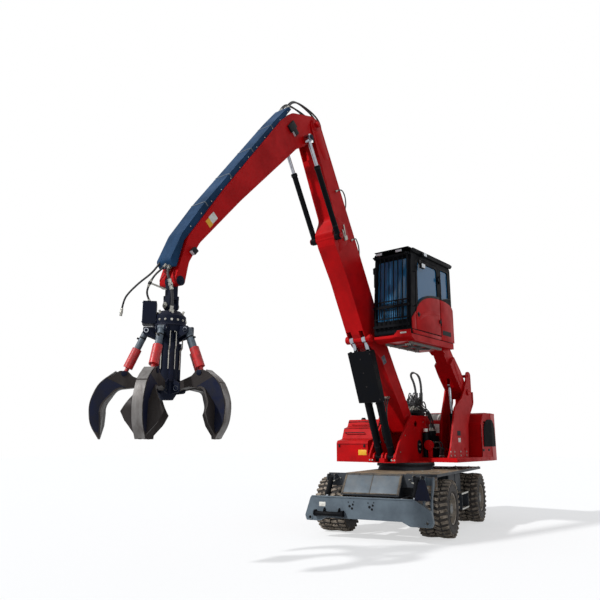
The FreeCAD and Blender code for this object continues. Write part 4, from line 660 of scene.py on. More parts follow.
def dress_tyres():
    height, count = sizes().lug_height, sizes().lugs
    half = TYRE_W / 2
    base = TYRE_R - height

    def casing(form, middle):
        profile = [(RIM_R, -half + 0.03), (RIM_R + 0.02, -half + 0.012), (RIM_R + 0.055, -half + 0.001),
            (RIM_R + 0.11, -half), (base - 0.07, -half + 0.002), (base - 0.03, -half + 0.012),
            (base - 0.008, -half + 0.03), (base, -half + 0.06), (base + 0.002, 0.0)]
        profile += [(r, -y) for r, y in profile[-2::-1]]
        lathe(form, [(r, y + middle) for r, y in profile], 72)

    def lug_set(form, middle):
        for sign in (-1, 1):
            first = len(form.verts)
            lug = bmesh.ops.create_cube(form, size=1.0, matrix=turn(sign * 180.0 / count, "Y")
                @ Matrix.Translation((0.0, middle + sign * 0.076, TYRE_R - height / 2 - 0.006))
                @ turn(sign * 17.0, "Z") @ Matrix.Diagonal((0.058, 0.132, height + 0.012, 1.0)))["verts"]
            top = [v for v in lug if v.co.length > TYRE_R - 0.001 or v.co.z > TYRE_R - 0.012]
            bmesh.ops.scale(form, verts=top, vec=(0.84, 0.97, 1.0),
                space=Matrix.Translation((0.0, -(middle + sign * 0.076), 0.0)))
            outer = [v for v in lug if abs(v.co.y - middle) > half - 0.012 and v.co.z > TYRE_R - 0.012]
            bmesh.ops.translate(form, verts=outer, vec=(0.0, 0.0, -0.012))
            bmesh.ops.create_cube(form, size=1.0, matrix=turn(sign * 180.0 / count, "Y")
                @ Matrix.Translation((0.016 * -sign, middle + sign * (half - 0.005), base - 0.034))
                @ turn(-sign * 10.0, "X") @ Matrix.Diagonal((0.04, 0.012, 0.062, 1.0)))
            copies(form, since(form, first), count, "Y")

    for end, side in WHEELS:
        place = wheel_place(end, side)
        name = "%s_%s" % (end, side)

        def walls(form):
            for row in (0, 1):
                casing(form, TRACK_OUTER - half - row * TWIN_PITCH)
            outer = TRACK_OUTER
            for ring, depth in ((RIM_R + 0.03, 0.004), (RIM_R + 0.082, 0.003), (RIM_R + 0.15, 0.003)):
                lathe(form, [(ring - 0.004, outer - 0.006), (ring - 0.002, outer + depth - 0.001),
                    (ring + 0.002, outer + depth - 0.001), (ring + 0.004, outer - 0.006)], 72)
        tyre = piece("tyre_walls_" + name, "wheel_" + name, "rubber", walls, place=place)

        def tread(form):
            for row in (0, 1):
                lug_set(form, TRACK_OUTER - half - row * TWIN_PITCH)
        piece("tyre_lugs_" + name, "wheel_" + name, "tread", tread, place=place, smooth=False)
        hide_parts("tyres_" + name)


class HANDLER_OT_tyres(bpy.types.Operator):
    """Twin tyres with their sidewalls and shoulder lugs."""
    bl_idname = "handler.tyres"
    bl_label = "Tyres"

    def execute(self, context):
        dress_tyres()
        return {"FINISHED"}


def dress_wheel_discs():
    face = TRACK_OUTER - 0.12
    for end, side in WHEELS:
        place = wheel_place(end, side)
        name = "%s_%s" % (end, side)

        def disc(form):
            lathe(form, [(RIM_R + 0.002, TRACK_OUTER - 0.03), (RIM_R + 0.012, TRACK_OUTER - 0.02),
                (RIM_R + 0.008, TRACK_OUTER - 0.012), (RIM_R - 0.008, TRACK_OUTER - 0.018),
                (RIM_R - 0.016, TRACK_OUTER - 0.04), (RIM_R - 0.022, TRACK_OUTER - 0.075),
                (RIM_R - 0.034, face + 0.012), (RIM_R - 0.058, face + 0.004)], 72)
            lathe(form, [(0.226, face - 0.002), (0.214, face + 0.014), (0.186, face + 0.02), (0.176, face + 0.002)],
                72)

        def hub(form):
            lathe(form, [(0.15, face - 0.002), (0.148, face + 0.034), (0.128, face + 0.046), (0.112, face + 0.05),
                (0.104, face + 0.082), (0.094, face + 0.09), (0.0005, face + 0.092)], 48)
            first = len(form.verts)
            bolt(form, (0.0, face + 0.048, 0.128), (0.0, 1.0, 0.0), 0.018, washer=False)
            copies(form, since(form, first), 12, "Y")
            bar(form, (0.0, face + 0.088, 0.06), (0.0, face + 0.104, 0.06), 0.011, 6)

        def nuts(form):
            bar(form, (0.0, face + 0.01, 0.199), (0.0, face + 0.024, 0.199), 0.02, 20)
            bar(form, (0.0, face + 0.022, 0.199), (0.0, face + 0.046, 0.199), 0.0165, 6)
            bar(form, (0.0, face + 0.044, 0.199), (0.0, face + 0.062, 0.199), 0.01, 12)
            copies(form, since(form), 10, "Y")

        def valve(form):
            bar(form, (0.0, face + 0.01, RIM_R - 0.045), (0.0, TRACK_OUTER - 0.035, RIM_R - 0.03), 0.005, 10)
            bar(form, (0.0, TRACK_OUTER - 0.04, RIM_R - 0.031), (0.0, TRACK_OUTER - 0.022, RIM_R - 0.029), 0.0065,
                8)
        body = "wheel_" + name
        piece("rim_flange_" + name, body, "cream", disc, place=place)
        piece("hub_reduction_" + name, body, "hub", hub, place=place)
        piece("wheel_nuts_" + name, body, "hub", nuts, place=place)
        piece("tyre_valve_" + name, body, "zinc", valve, place=place)


class HANDLER_OT_wheel_discs(bpy.types.Operator):
    """Rim flanges, hub reductions, wheel nuts and tyre valves."""
    bl_idname = "handler.wheel_discs"
    bl_label = "Wheel Discs"

    def execute(self, context):
        dress_wheel_discs()
        return {"FINISHED"}


def dress_undercarriage():
    def slew_bolts(form):
        bolt(form, (0.56, 0.0, 1.262), (0.0, 0.0, 1.0), 0.03)
        copies(form, since(form), 36, "Z")
    piece("slew_ring_bolts", "chassis", "zinc", slew_bolts, place=ON_LOWER)
    piece("slew_ring_seal", "chassis", "abs", [
        (lathe, [(0.622, 1.264), (0.6265, 1.272), (0.6265, 1.3), (0.622, 1.308)], 96, "Z")], place=ON_LOWER)

    # Sloped cover: raised rim, hatch and its fasteners.
    top, foot = Vector((2.04, 0.0, 1.1685)), Vector((2.325, 0.0, 0.8155))
    run = (foot - top).normalized()
    out = Vector((-run.z, 0.0, run.x))
    slope = Matrix(((run.x, 0.0, out.x, top.x), (0.0, 1.0, 0.0, 0.0), (run.z, 0.0, out.z, top.z), (0, 0, 0, 1)))
    length = (foot - top).length

    piece("front_cover_frame", "chassis", "dusty_graphite_painted_shade", [
        *[(block, low, high) for low, high in (((0.0, -0.56, 0.0), (length, -0.53, 0.008)),
            ((0.0, 0.53, 0.0), (length, 0.56, 0.008)), ((0.0, -0.53, 0.0), (0.03, 0.53, 0.008)),
            ((length - 0.03, -0.53, 0.0), (length, 0.53, 0.008)),
            ((0.03, -0.006, 0.0), (length - 0.03, 0.006, 0.006)))],
        *[(bolt, (x, y, 0.008), (0, 0, 1)) for y in (-0.545, -0.28, 0.0, 0.28, 0.545)
            for x in (0.015, length - 0.015)]], place=ON_LOWER @ slope, bevel=0.0015)
    piece("front_cover_hatches", "chassis", "slate", [
        (block, (0.032, y0, -0.0005), (length - 0.032, y1, 0.0045))
            for y0, y1 in ((-0.528, -0.008), (0.008, 0.528))], place=ON_LOWER @ slope, bevel=0.0015)
    piece("fender_front_plate", "chassis", "caked", [
        (block, (2.0802, 1.038, 0.904), (2.086, 1.232, 1.138))], place=ON_LOWER, bevel=0.002)

    def deck_rows(form):
        bmesh.ops.create_cone(form, cap_ends=True, segments=6, radius1=0.011, radius2=0.008, depth=0.004,
            matrix=Matrix.Translation((1.25, 0.7, 1.1945)) @ Matrix.Diagonal((1.6, 0.5, 1, 1)))
        for step, count in (((0.075, 0.0, 0.0), 9), ((0.0, 0.062, 0.0), 8)):
            geom = form.verts[:] + form.edges[:] + form.faces[:]
            for index in range(1, count):
                new = bmesh.ops.duplicate(form, geom=geom)["geom"]
                bmesh.ops.translate(form, verts=[v for v in new if isinstance(v, bmesh.types.BMVert)],
                    vec=Vector(step) * index)
    piece("fender_tread_plate", "chassis", "dusty_graphite_painted_shade", deck_rows, place=ON_LOWER, smooth=False)
    piece("fender_bolts", "chassis", "zinc", [
        *[(bolt, (x, y, 1.192), (0, 0, 1), 0.026) for y in (0.66, 0.98, 1.2)
            for x in (-1.85, -1.2, -0.6, 0.3, 1.0, 1.7)],
        *[(bolt, (2.086, y, z), (1, 0, 0)) for z in (0.95, 1.1) for y in (1.06, 1.21)]], place=ON_LOWER)

    def locker(form):
        for x0, x1 in ((-0.545, -0.03), (0.01, 0.505)):
            block(form, (x0, -1.053, 0.555), (x1, -1.045, 1.05))
            for z in (0.66, 0.93):
                block(form, (x0 + 0.01, -1.062, z), (x0 + 0.03, -1.05, z + 0.05))
            bar(form, (x1 - 0.05, -1.064, 0.8), (x1 - 0.05, -1.05, 0.8), 0.022, 20)
            block(form, (x0, 1.045, 0.76), (x1, 1.053, 1.11))
            bar(form, (x1 - 0.05, 1.05, 0.93), (x1 - 0.05, 1.064, 0.93), 0.022, 20)
    piece("locker_doors", "chassis", "dusty_graphite_painted_shade", locker, place=ON_LOWER, bevel=0.002)

    def treads(form):
        for z in (0.425, 0.725):
            for x in range(12):
                for y in (1.085, 1.13, 1.175, 1.215):
                    block(form, (-0.41 + x * 0.047, y - 0.011, z - 0.001),
                        (-0.39 + x * 0.047, y + 0.011, z + 0.007))
            block(form, (-0.44, 1.229, z - 0.024), (0.18, 1.236, z + 0.008))
    piece("step_grips", "chassis", "zinc", treads, place=ON_LOWER)

    def tub_pipes(form):
        for y in (-0.25, -0.21, 0.21, 0.25):
            bar(form, (-1.2, y, 0.7), (1.2, y, 0.7), 0.011, 12)
        for x in (-1.0, -0.3, 0.4, 1.1):
            block(form, (x - 0.02, -0.28, 0.684), (x + 0.02, -0.18, 0.722))
            block(form, (x - 0.02, 0.18, 0.684), (x + 0.02, 0.28, 0.722))
    piece("axle_brake_pipes", "chassis", "zinc", tub_pipes, place=ON_LOWER)


class HANDLER_OT_undercarriage(bpy.types.Operator):
    """Slewing ring bolts and seal, front cover, fender plates, lockers, step grips and pipes."""
    bl_idname = "handler.undercarriage"
    bl_label = "Undercarriage"

    def execute(self, context):
        dress_undercarriage()
        return {"FINISHED"}


def dress_blade():
    # Rolled strip along the top edge.
    piece("blade_edge", "blade", "slate", [
        (block, (BLADE_X - 0.02, -1.1, 0.752), (BLADE_X + 0.012, 0.88, 0.778))], place=ON_LOWER, bevel=0.003)
    # Tall corner plate that shields the left cylinder, in blue-black painted shade.
    piece("blade_corner_plate", "blade", "navy", [
        (slab, [(0.9, 0.755), (0.985, 1.06), (1.03, 1.12), (1.11, 1.11), (1.165, 0.88), (1.2, 0.755)],
            BLADE_X - 0.05, BLADE_X - 0.032, 0)], place=ON_LOWER, bevel=0.003)

    def tow_bar(form):
        x, z = BLADE_X + 0.062, 0.462
        bar(form, (x, -1.0, z), (x, -0.46, z), 0.042, 28)
        for y in (-1.01, -0.45):
            slab(form, [(BLADE_X - 0.002, z - 0.05), (x + 0.01, z - 0.052), (x + 0.05, z - 0.02),
                (x + 0.05, z + 0.035), (x, z + 0.062), (BLADE_X - 0.002, z + 0.062)], y - 0.016, y + 0.016)
        for y in (-0.83, -0.53):
            slab(form, [(BLADE_X - 0.002, z + 0.02), (x, z + 0.036), (x, z + 0.06), (BLADE_X + 0.012, z + 0.105),
                (BLADE_X - 0.002, z + 0.105)], y - 0.012, y + 0.012)
    piece("blade_tow_bar", "blade", "black", tow_bar, place=ON_LOWER, bevel=0.002)
    piece("lashing_eye_rims", "blade", "slate", [
        (lathe, [(0.026, -0.002), (0.026, 0.01), (0.032, 0.014), (0.046, 0.012), (0.05, -0.002)], 28, "X",
            (BLADE_X, y, 0.38)) for y in (-1.13, 1.13)], place=ON_LOWER)
    piece("blade_plug_holes", "blade", "abs", [
        (bar, (BLADE_X - 0.001, middle + y, z), (BLADE_X + 0.004, middle + y, z), r, 20) for middle in (-0.29, 0.1)
            for y, z, r in ((-0.035, 0.61, 0.024), (0.03, 0.64, 0.02), (0.012, 0.572, 0.022), (0.05, 0.69, 0.012),
            (-0.06, 0.68, 0.012))], place=ON_LOWER)
    piece("blade_blank_plate", "blade", "plate_pale", [
        (block, (BLADE_X - 0.001, -0.945, 0.585), (BLADE_X + 0.003, -0.815, 0.665))], place=ON_LOWER, bevel=0.0005)

    def pins(form):
        for y in (-0.33, 0.33):
            for s in (-1, 1):
                bar(form, (1.95, y + s * 0.061, 0.62), (1.95, y + s * 0.074, 0.62), 0.044, 24)
                bolt(form, (1.95, y + s * 0.074, 0.62), (0, s, 0), 0.026)
    piece("blade_pin_caps", "chassis", "zinc", pins, place=ON_LOWER, bevel=0.001)
    for side in (-1, 1):
        hose("blade_hose_%s" % ("left" if side > 0 else "right"), "chassis",
            [(2.01, side * 0.7, 1.08), (2.06, side * 0.7, 1.085), (2.11, side * 0.74, 1.06),
            (2.13, side * 0.775, 1.035), (2.126, side * 0.805, 1.03)], 0.02, place=ON_LOWER)


class HANDLER_OT_blade(bpy.types.Operator):
    """Top edge, corner plate, tow bar, eye rims, plug holes, blank plate, pin caps and hoses of the blade."""
    bl_idname = "handler.blade"
    bl_label = "Blade"

    def execute(self, context):
        dress_blade()
        return {"FINISHED"}


def dress_upper():
    w = UPPER_HALF_W

    def grille(form):
        # Rounded mesh panel let into each flank at the tail, in front of its slats.
        # Its rear half follows the tail casting as that draws in.
        drawn_in = Matrix.Rotation(math.atan2(0.11, 0.63), 4, "Z")
        tail = Matrix.Translation((-1.9, w, 0.0)) @ drawn_in @ Matrix.Translation((0.0, -w, 0.0))
        halves = [(Matrix.Identity(4), [(-1.899, 1.66), (-1.899, 2.275), (-1.7, 2.27), (-1.56, 2.215),
            (-1.465, 2.06), (-1.44, 1.66)], (-1.475, -1.898)), (tail,
            [(0.001, 1.66), (0.001, 2.275), (-0.13, 2.255), (-0.25, 2.18), (-0.32, 2.06), (-0.34, 1.9),
            (-0.34, 1.66)], (0.0, -0.325))]
        for side in (-1, 1):
            mirror = Matrix.Scale(side, 4, (0, 1, 0))
            for place, face, ends in halves:
                first = len(form.verts)
                slab(form, face, w - 0.006, w + 0.005)
                for row in range(14):
                    z = 1.685 + row * 0.038
                    narrow = max(0.0, z - 1.93) * 0.42
                    low = (ends[1] + (narrow if ends[0] == 0.0 else 0.0), w - 0.006, z)
                    high = (ends[0] - (narrow if ends[0] != 0.0 else 0.0), w + 0.01, z + 0.012)
                    block(form, low, high)
                shifted(form, first, mirror @ place)
    piece("flank_grilles", "upper", "grille", grille, smooth=False)
    piece("hood_seams", "upper", "abs", [
        *[(block, (x - 0.004, -w + 0.012, HOOD_TOP - 0.002), (x + 0.004, w - 0.012, HOOD_TOP + 0.002))
            for x in (-1.898, -1.6)],
        *[(block, (-1.88, y - 0.003, HOOD_TOP - 0.001), (-0.96, y + 0.003, HOOD_TOP + 0.0015))
            for y in (-0.4, 0.3)],
        *[(block, (-1.345, side * (w - 0.01), 1.446), (-1.339, side * (w - 0.002), 2.15)) for side in (-1, 1)]])
    piece("hood_latches", "upper", "abs", [
        *[(block, (x - 0.045, side * (w - 0.01) - 0.008, 1.56), (x + 0.045, side * (w - 0.01) + 0.01, 1.61))
            for side in (-1, 1) for x in (-1.72, -1.42)],
        *[(block, (x - 0.06, -0.41, HOOD_TOP), (x + 0.06, -0.37, HOOD_TOP + 0.016))
            for x in (-1.75, -1.1)]], bevel=0.004)
    piece("exhaust_rim", "upper", "tine", [
        (lathe, [(0.06, 2.61), (0.066, 2.625), (0.06, 2.635), (0.054, 2.628), (0.053, 2.56)], 32,
            "Z")], place=Matrix.Translation((-1.35, -0.52, 0.0)))

    def tank_trim(form):
        # Seam line, hinges and lock of the low front box, and lips of the two tiers above it.
        y0, y1 = -w + 0.004, -0.399
        block(form, (0.9, y0, 1.716), (0.906, y1, 1.722))
        block(form, (0.56, y0 - 0.006, 1.786), (0.874, y0 + 0.002, 1.792))
        for y in (-1.14, -0.48):
            block(form, (0.898, y - 0.02, 1.655), (0.916, y + 0.02, 1.712))
        for x, z in ((0.69, 1.832), (0.598, 2.064), (0.47, 2.104)):
            block(form, (x - 0.012, y0, z - 0.004), (x + 0.006, y1, z + 0.004))
    piece("tank_seams", "upper", "abs", tank_trim, bevel=0.0015)

    def tank_handles(form):
        for x, z in ((0.655, 1.985), (0.5, 2.225)):
            for y in (-1.12, -0.62):
                bar(form, (x, y, z - 0.03), (x + 0.045, y, z - 0.02), 0.009, 12)
            bar(form, (x + 0.045, -1.125, z - 0.02), (x + 0.045, -0.615, z - 0.02), 0.01, 14)
    piece("tank_handles", "upper", "abs", tank_handles)
    piece("tank_filler", "upper", "abs", [
        (bar, (0.15, -0.98, 2.258), (0.15, -0.98, 2.29), 0.055, 28),
        (bar, (0.15, -0.98, 2.288), (0.15, -0.98, 2.31), 0.043, 10)], bevel=0.002)
    piece("tank_blank_plate", "upper", "plate_yellow", [
        (block, (0.899, -0.64, 1.49), (0.9025, -0.43, 1.602))], bevel=0.0006)
    piece("tank_inner_panel", "upper", "hub", [
        (slab, [(0.32, 1.9), (0.32, 2.23), (0.38, 2.235), (0.455, 2.085), (0.64, 2.02), (0.69, 1.86)], -0.396,
            -0.388)], bevel=0.001)

    cheek_y = 0.335

    piece("boom_pin_caps", "upper", "red", [
        (flank_caps, *BOOM_FOOT, cheek_y, 0.005, 0.072, 32),
        *[(ring_bolts, *BOOM_FOOT, side * (cheek_y + 0.002), side, 0.045, 2, 0.7, 0.02)
            for side in (-1, 1)]], bevel=0.001)
    # Black sheets of painted shade in the cheeks' openings.
    piece("cheek_opening_shade", "upper", "abs", [
        (flank_slabs, [(-0.1, 1.53), (-0.04, 1.505), (0.03, 1.55), (0.058, 1.66), (0.04, 1.77), (-0.02, 1.815),
            (-0.1, 1.8), (-0.145, 1.71), (-0.14, 1.6)], cheek_y - 0.002, 0.004)], smooth=False)

    def cheek_bolts(form):
        for side in (-1, 1):
            s = side * (cheek_y + 0.002)
            for z in (1.61, 1.71):
                bar(form, (-0.045, s, z), (-0.045, s + side * 0.016, z), 0.03, 20)
                bolt(form, (-0.045, s + side * 0.012, z), (0, side, 0), 0.034, washer=False)
            for x, z in ((0.78, 1.56), (0.56, 1.9), (-0.25, 2.2)):
                bolt(form, (x, side * cheek_y, z), (0, side, 0))
    piece("cheek_bolts", "upper", "zinc", cheek_bolts)
    piece("nose_bolts", "upper", "zinc", [
        (bolt, (0.98, y, 1.395), (1, 0, 0), 0.026) for y in (-0.3, -0.235, 0.235, 0.3)])
    piece("swivel_motor_cover", "upper", "red", [
        (bar, (-0.085, 0.56, 1.7), (-0.025, 0.56, 1.7), 0.105, 40),
        (bar, (-0.03, 0.56, 1.7), (-0.01, 0.56, 1.7), 0.075, 40),
        (block, (-0.14, 0.52, PLATFORM_TOP), (-0.08, 0.6, 1.7))], bevel=0.003)
    piece("filter_head", "upper", "plate_pale", [
        (slab, [(-0.759, 1.96), (-0.759, 2.15), (-0.896, 2.392), (-0.902, 2.389), (-0.765, 2.148), (-0.765, 1.96)],
            0.03, 0.47),
        (bar, (-0.18, 0.43, 1.985), (-0.18, 0.43, 2.055), 0.05, 24)], bevel=0.006)
    piece("platform_edge_strip", "upper", "red", [
        (block, (-1.88, w - 0.001, 1.356), (-0.03, w + 0.004, 1.422)),
        *[(bolt, (x, w + 0.004, 1.389), (0, 1, 0)) for x in (-1.7, -1.25, -0.8, -0.35, -0.08)]], bevel=0.0015)


class HANDLER_OT_upper(bpy.types.Operator):
    """Grilles, seams, latches, handles, blank plates, pin caps and bolts of the upper structure."""
    bl_idname = "handler.upper"
    bl_label = "Upper Structure"

    def execute(self, context):
        dress_upper()
        return {"FINISHED"}


def dress_valve_bay():
    piece("valve_stand", "upper", "red", [
        *[(slab, [(-0.61, 1.88), (-0.62, 2.34), (-0.215, 2.34), (-0.215, 2.22), (-0.42, 1.88)], y - 0.024,
            y + 0.024) for y in (-0.268, 0.268)],
        (block, (-0.62, -0.244, 2.3), (-0.215, 0.244, 2.33))], bevel=0.003)

    def bank(form):
        for row in range(7):
            y = BANK_Y + row * BANK_PITCH
            block(form, (-0.56, y - 0.027, 2.33), (-0.27, y + 0.027, 2.47))
            bar(form, (-0.57, y, 2.4), (-0.625, y, 2.4), 0.02, 14)
            bar(form, (-0.262, y, 2.4), (-0.215, y, 2.4), 0.02, 14)
        block(form, (-0.565, -0.225, 2.36), (-0.265, 0.225, 2.38))
    piece("valve_bank", "upper", "abs", bank, bevel=0.003)

    def unions(form):
        for row in range(7):
            y = BANK_Y + row * BANK_PITCH
            for x in (-0.51, -0.44, -0.37, -0.31):
                bar(form, (x, y, 2.47), (x, y, 2.498), 0.021, 6)
                bar(form, (x, y, 2.498), (x, y, 2.522), 0.015, 10)
        for row in range(5):
            x = -0.61 + row * BANK_PITCH
            for z in (1.64, 1.76):
                bar(form, (x, 0.512, z), (x, 0.56, z), 0.019, 6)
            bar(form, (x, 0.432, 2.004), (x, 0.432, 2.035), 0.017, 14)
    piece("valve_unions", "upper", "zinc", unions)
    # Elbows that rise from each section and turn over both sides of the bank.
    for row in range(7):
        y = BANK_Y + row * BANK_PITCH
        lift, lean = 0.05 * (row % 3) + 0.03, 0.02 * (row * 2 % 5) - 0.04
        hose("bank_hose_%d" % row, "upper", [(-0.51, y, 2.515), (-0.515, y + lean, 2.6 + lift),
            (-0.6, y + lean, 2.65 + lift), (-0.69, y + lean * 2, 2.56 + lift), (-0.7, y + lean * 3, 2.38),
            (-0.69, y + lean * 3, 2.18), (-0.72, y + lean * 3, 1.98)], sizes().hose_d)
        hose("cross_hose_%d" % row, "upper", [(-0.31, y, 2.515), (-0.3, y - lean, 2.59 + lift),
            (-0.25, y + 0.1, 2.61 + lift), (-0.3, y * 0.3 + 0.3, 2.56 - lift), (-0.38, 0.36 + row * 0.012, 2.43),
            (-0.46, 0.38 + row * 0.016, 2.25), (-0.61 + row % 5 * BANK_PITCH, 0.432, 2.03)], 0.024,
            ferrules=row % 2 == 0)
    # Hoses that arch over the bank between its sections.
    for index in range(6):
        y = -0.176 + index * 0.036
        x, crown = -0.47 + 0.022 * (index % 3), 2.76 + 0.045 * (index * 2 % 3)
        hose("arch_hose_%d" % index, "upper", [(x, y, 2.515), (x - 0.015, y - 0.01, 2.66),
            (x + 0.03, y + 0.05, crown), (x + 0.09, y + 0.13, crown + 0.02), (x + 0.14, y + 0.19, 2.68),
            (x + 0.15, y + 0.196, 2.515)], 0.024, ferrules=index % 2 == 0)
    for index in range(4):
        x = -0.61 + index * BANK_PITCH
        z = 1.64 + 0.12 * (index % 2)
        hose("valve_drop_%d" % index, "upper", [(x, 0.56, z), (x + 0.01, 0.64, z), (x + 0.06, 0.665, 1.58),
            (x + 0.08, 0.66, 1.5), (x + 0.08, 0.655, 1.437)], 0.024)
    # Two tall loops that stand above the bank before they turn down.
    for index, (x, y) in enumerate(TALL_LOOPS):
        hose("tall_loop_%d" % index, "upper", [(x, y, 2.515), (x - 0.01, y + 0.01, 2.8), (x + 0.01, y - 0.02, 3.08),
            (x + 0.04, y - 0.1, 3.27), (x + 0.06, y - 0.02, 3.36 - 0.04 * index), (x + 0.06, y + 0.13, 3.26),
            (x + 0.04, y + 0.17, 3.02), (x + 0.02, y + 0.15, 2.78), (x + 0.0, y + 0.13, 2.6),
            (x + 0.01, y + 0.124, 2.515)], 0.03)

    def sleeves(form):
        for x, y in TALL_LOOPS:
            bar(form, (x, y, 2.56), (x - 0.01, y + 0.008, 2.86), 0.03, 14)
            bar(form, (x + 0.012, y + 0.134, 2.58), (x + 0.024, y + 0.15, 2.86), 0.03, 14)
    piece("loop_sleeves", "upper", "hose", sleeves, bevel=0.002)
    # Lines that cross from the platform to the boom's belly, between the lift cylinders.
    for index, y in enumerate((-0.045, 0.0, 0.045)):
        end = ON_BOOM @ Vector((0.78, y, -0.222))
        start = Vector((0.56, y, PLATFORM_TOP + 0.004))
        hose("foot_hose_%d" % index, None, [start, (0.6, y * 1.5, 1.62), (0.8, y * 1.8, 1.9), (0.85, y * 1.4, 2.25),
            (0.8, y, 2.5), end + Vector((0.06, 0, -0.08)), end], 0.032,
            blend=("upper", "boom", tuple(start), tuple(end)))


class HANDLER_OT_valve_bay(bpy.types.Operator):
    """Valve bank behind the boom's foot, the pump's fittings and the tangle of hoses round them."""
    bl_idname = "handler.valve_bay"
    bl_label = "Valve Bay"

    def execute(self, context):
        dress_valve_bay()
        return {"FINISHED"}


def dress_cab():
    x0, x1, (y0, y1), (z0, z1) = CAB_X[0], CAB_X[1], CAB_Y, CAB_Z
    out = y1 + 0.0004
    arch = [(1.484, z0 + 0.47), (1.44, z0 + 0.56), (1.33, z0 + 0.665), (1.18, z0 + 0.755), (1.0, z0 + 0.822),
        (0.8, z0 + 0.862), (0.6, z0 + 0.88), (0.436, z0 + 0.884)]

    piece("door_lower_panel", "door", "red", [
        (slab, [(0.436, z0 + 0.106), (1.484, z0 + 0.106)] + arch, out, out + 0.016)], bevel=0.005)

    def door_sill(form):
        # Dark strip that follows the panel's arched top.
        lower = [(x, z + 0.002) for x, z in arch]
        upper = [(x - 0.006, z + 0.05) for x, z in arch]
        slab(form, lower + upper[::-1], out, out + 0.01)
    piece("door_waist_strip", "door", "abs", door_sill, bevel=0.002)

    def swage(form):
        # Pressed crescent across the panel.
        top = [(1.4, z0 + 0.33), (1.24, z0 + 0.455), (1.02, z0 + 0.545), (0.78, z0 + 0.595), (0.47, z0 + 0.61)]
        low = [(0.47, z0 + 0.52), (0.72, z0 + 0.51), (0.96, z0 + 0.47), (1.18, z0 + 0.395), (1.33, z0 + 0.31)]
        slab(form, top + low, out + 0.016, out + 0.023)
    piece("door_swage", "door", "red", swage, bevel=0.004)
    piece("door_handle", "door", "abs", [
        (bar, (1.395, out + 0.01, z0 + 0.42), (1.395, out + 0.018, z0 + 0.42), 0.052, 28),
        (block, (1.36, out + 0.018, z0 + 0.405), (1.432, out + 0.036, z0 + 0.435))], bevel=0.002)
    piece("door_pane", "door", "glass", [
        (slab, [(0.5, z0 + 0.73), (1.37, z0 + 0.492), (1.372, z1 - 0.26), (1.34, z1 - 0.196), (0.53, z1 - 0.196),
            (0.5, z1 - 0.226)], y1 - 0.026, y1 - 0.02)])
    piece("rear_lower_panel", "cab", "red", [
        (slab, [(x0 + 0.004, z0 + 0.012), (0.408, z0 + 0.012), (0.408, z0 + 0.884), (0.2, z0 + 0.88),
            (0.0, z0 + 0.85), (x0 + 0.004, z0 + 0.79)], out, out + 0.018),
        (slab, [(x0 - 0.04, z0 + 0.012), (x0 + 0.002, z0 + 0.012), (x0 + 0.002, z0 + 0.79), (x0 - 0.04, z0 + 0.74)],
            y0 + 0.06, out + 0.012)], bevel=0.005)
    piece("side_sill", "cab", "red", [
        (slab, [(0.424, z0 + 0.012), (x1 - 0.06, z0 + 0.012), (x1 - 0.03, z0 + 0.06), (x1 - 0.03, z0 + 0.083),
            (0.424, z0 + 0.083)], out, out + 0.016)], bevel=0.004)
    piece("front_corner_panel", "cab", "red", [
        (slab, [(1.5, z0 + 0.1), (x1 - 0.02, z0 + 0.1), (x1 - 0.016, z0 + 0.3), (x1 - 0.045, z0 + 0.345),
            (1.56, z0 + 0.42), (1.5, z0 + 0.47)], out, out + 0.014)], bevel=0.004)
    # A black sheet of painted shade in the slot of the rear panel.
    piece("rear_panel_slot_shade", "cab", "abs", [
        (slab, [(-0.02, z0 + 0.13), (0.37, z0 + 0.13), (0.37, z0 + 0.23), (-0.02, z0 + 0.23)], out + 0.018,
            out + 0.0205)], smooth=False)
    piece("right_lower_panel", "cab", "red", [
        (slab, [(x0 + 0.01, z0 + 0.012), (x1 - 0.06, z0 + 0.012), (x1 - 0.03, z0 + 0.06), (x1 - 0.03, z0 + 0.43),
            (1.42, z0 + 0.48), (0.04, z0 + 0.74), (x0 + 0.01, z0 + 0.76)], y0 - 0.006, y0 - 0.0004)], bevel=0.004)
    piece("side_and_roof_panes", "cab", "glass", [
        (slab, [(0.03, z0 + 0.792), (1.405, z0 + 0.535), (1.358, z1 - 0.163), (0.032, z1 - 0.163)], y0 + 0.02,
            y0 + 0.026),
        (slab, [(-0.018, z0 + 0.992), (0.318, z0 + 0.915), (0.318, z1 - 0.163), (-0.018, z1 - 0.163)], y1 - 0.026,
            y1 - 0.02),
        (block, (0.502, y0 + 0.152, z1 - 0.028), (1.248, y1 - 0.152, z1 - 0.022))])
    # Rubber frames standing round the fixed panes.
    piece("window_seals", "cab", "rubber", [
        (rods, [(-0.03, z0 + 0.985), (0.33, z0 + 0.905), (0.33, z1 - 0.15), (-0.03, z1 - 0.15),
            (-0.03, z0 + 0.985)], y1 + 0.001, 0.008, 8),
        (rods, [(0.01, z0 + 0.778), (1.425, z0 + 0.515), (1.372, z1 - 0.148), (0.01, z1 - 0.148),
            (0.01, z0 + 0.778)], y0 - 0.001, 0.008, 8)])

    def guard_bars(form):
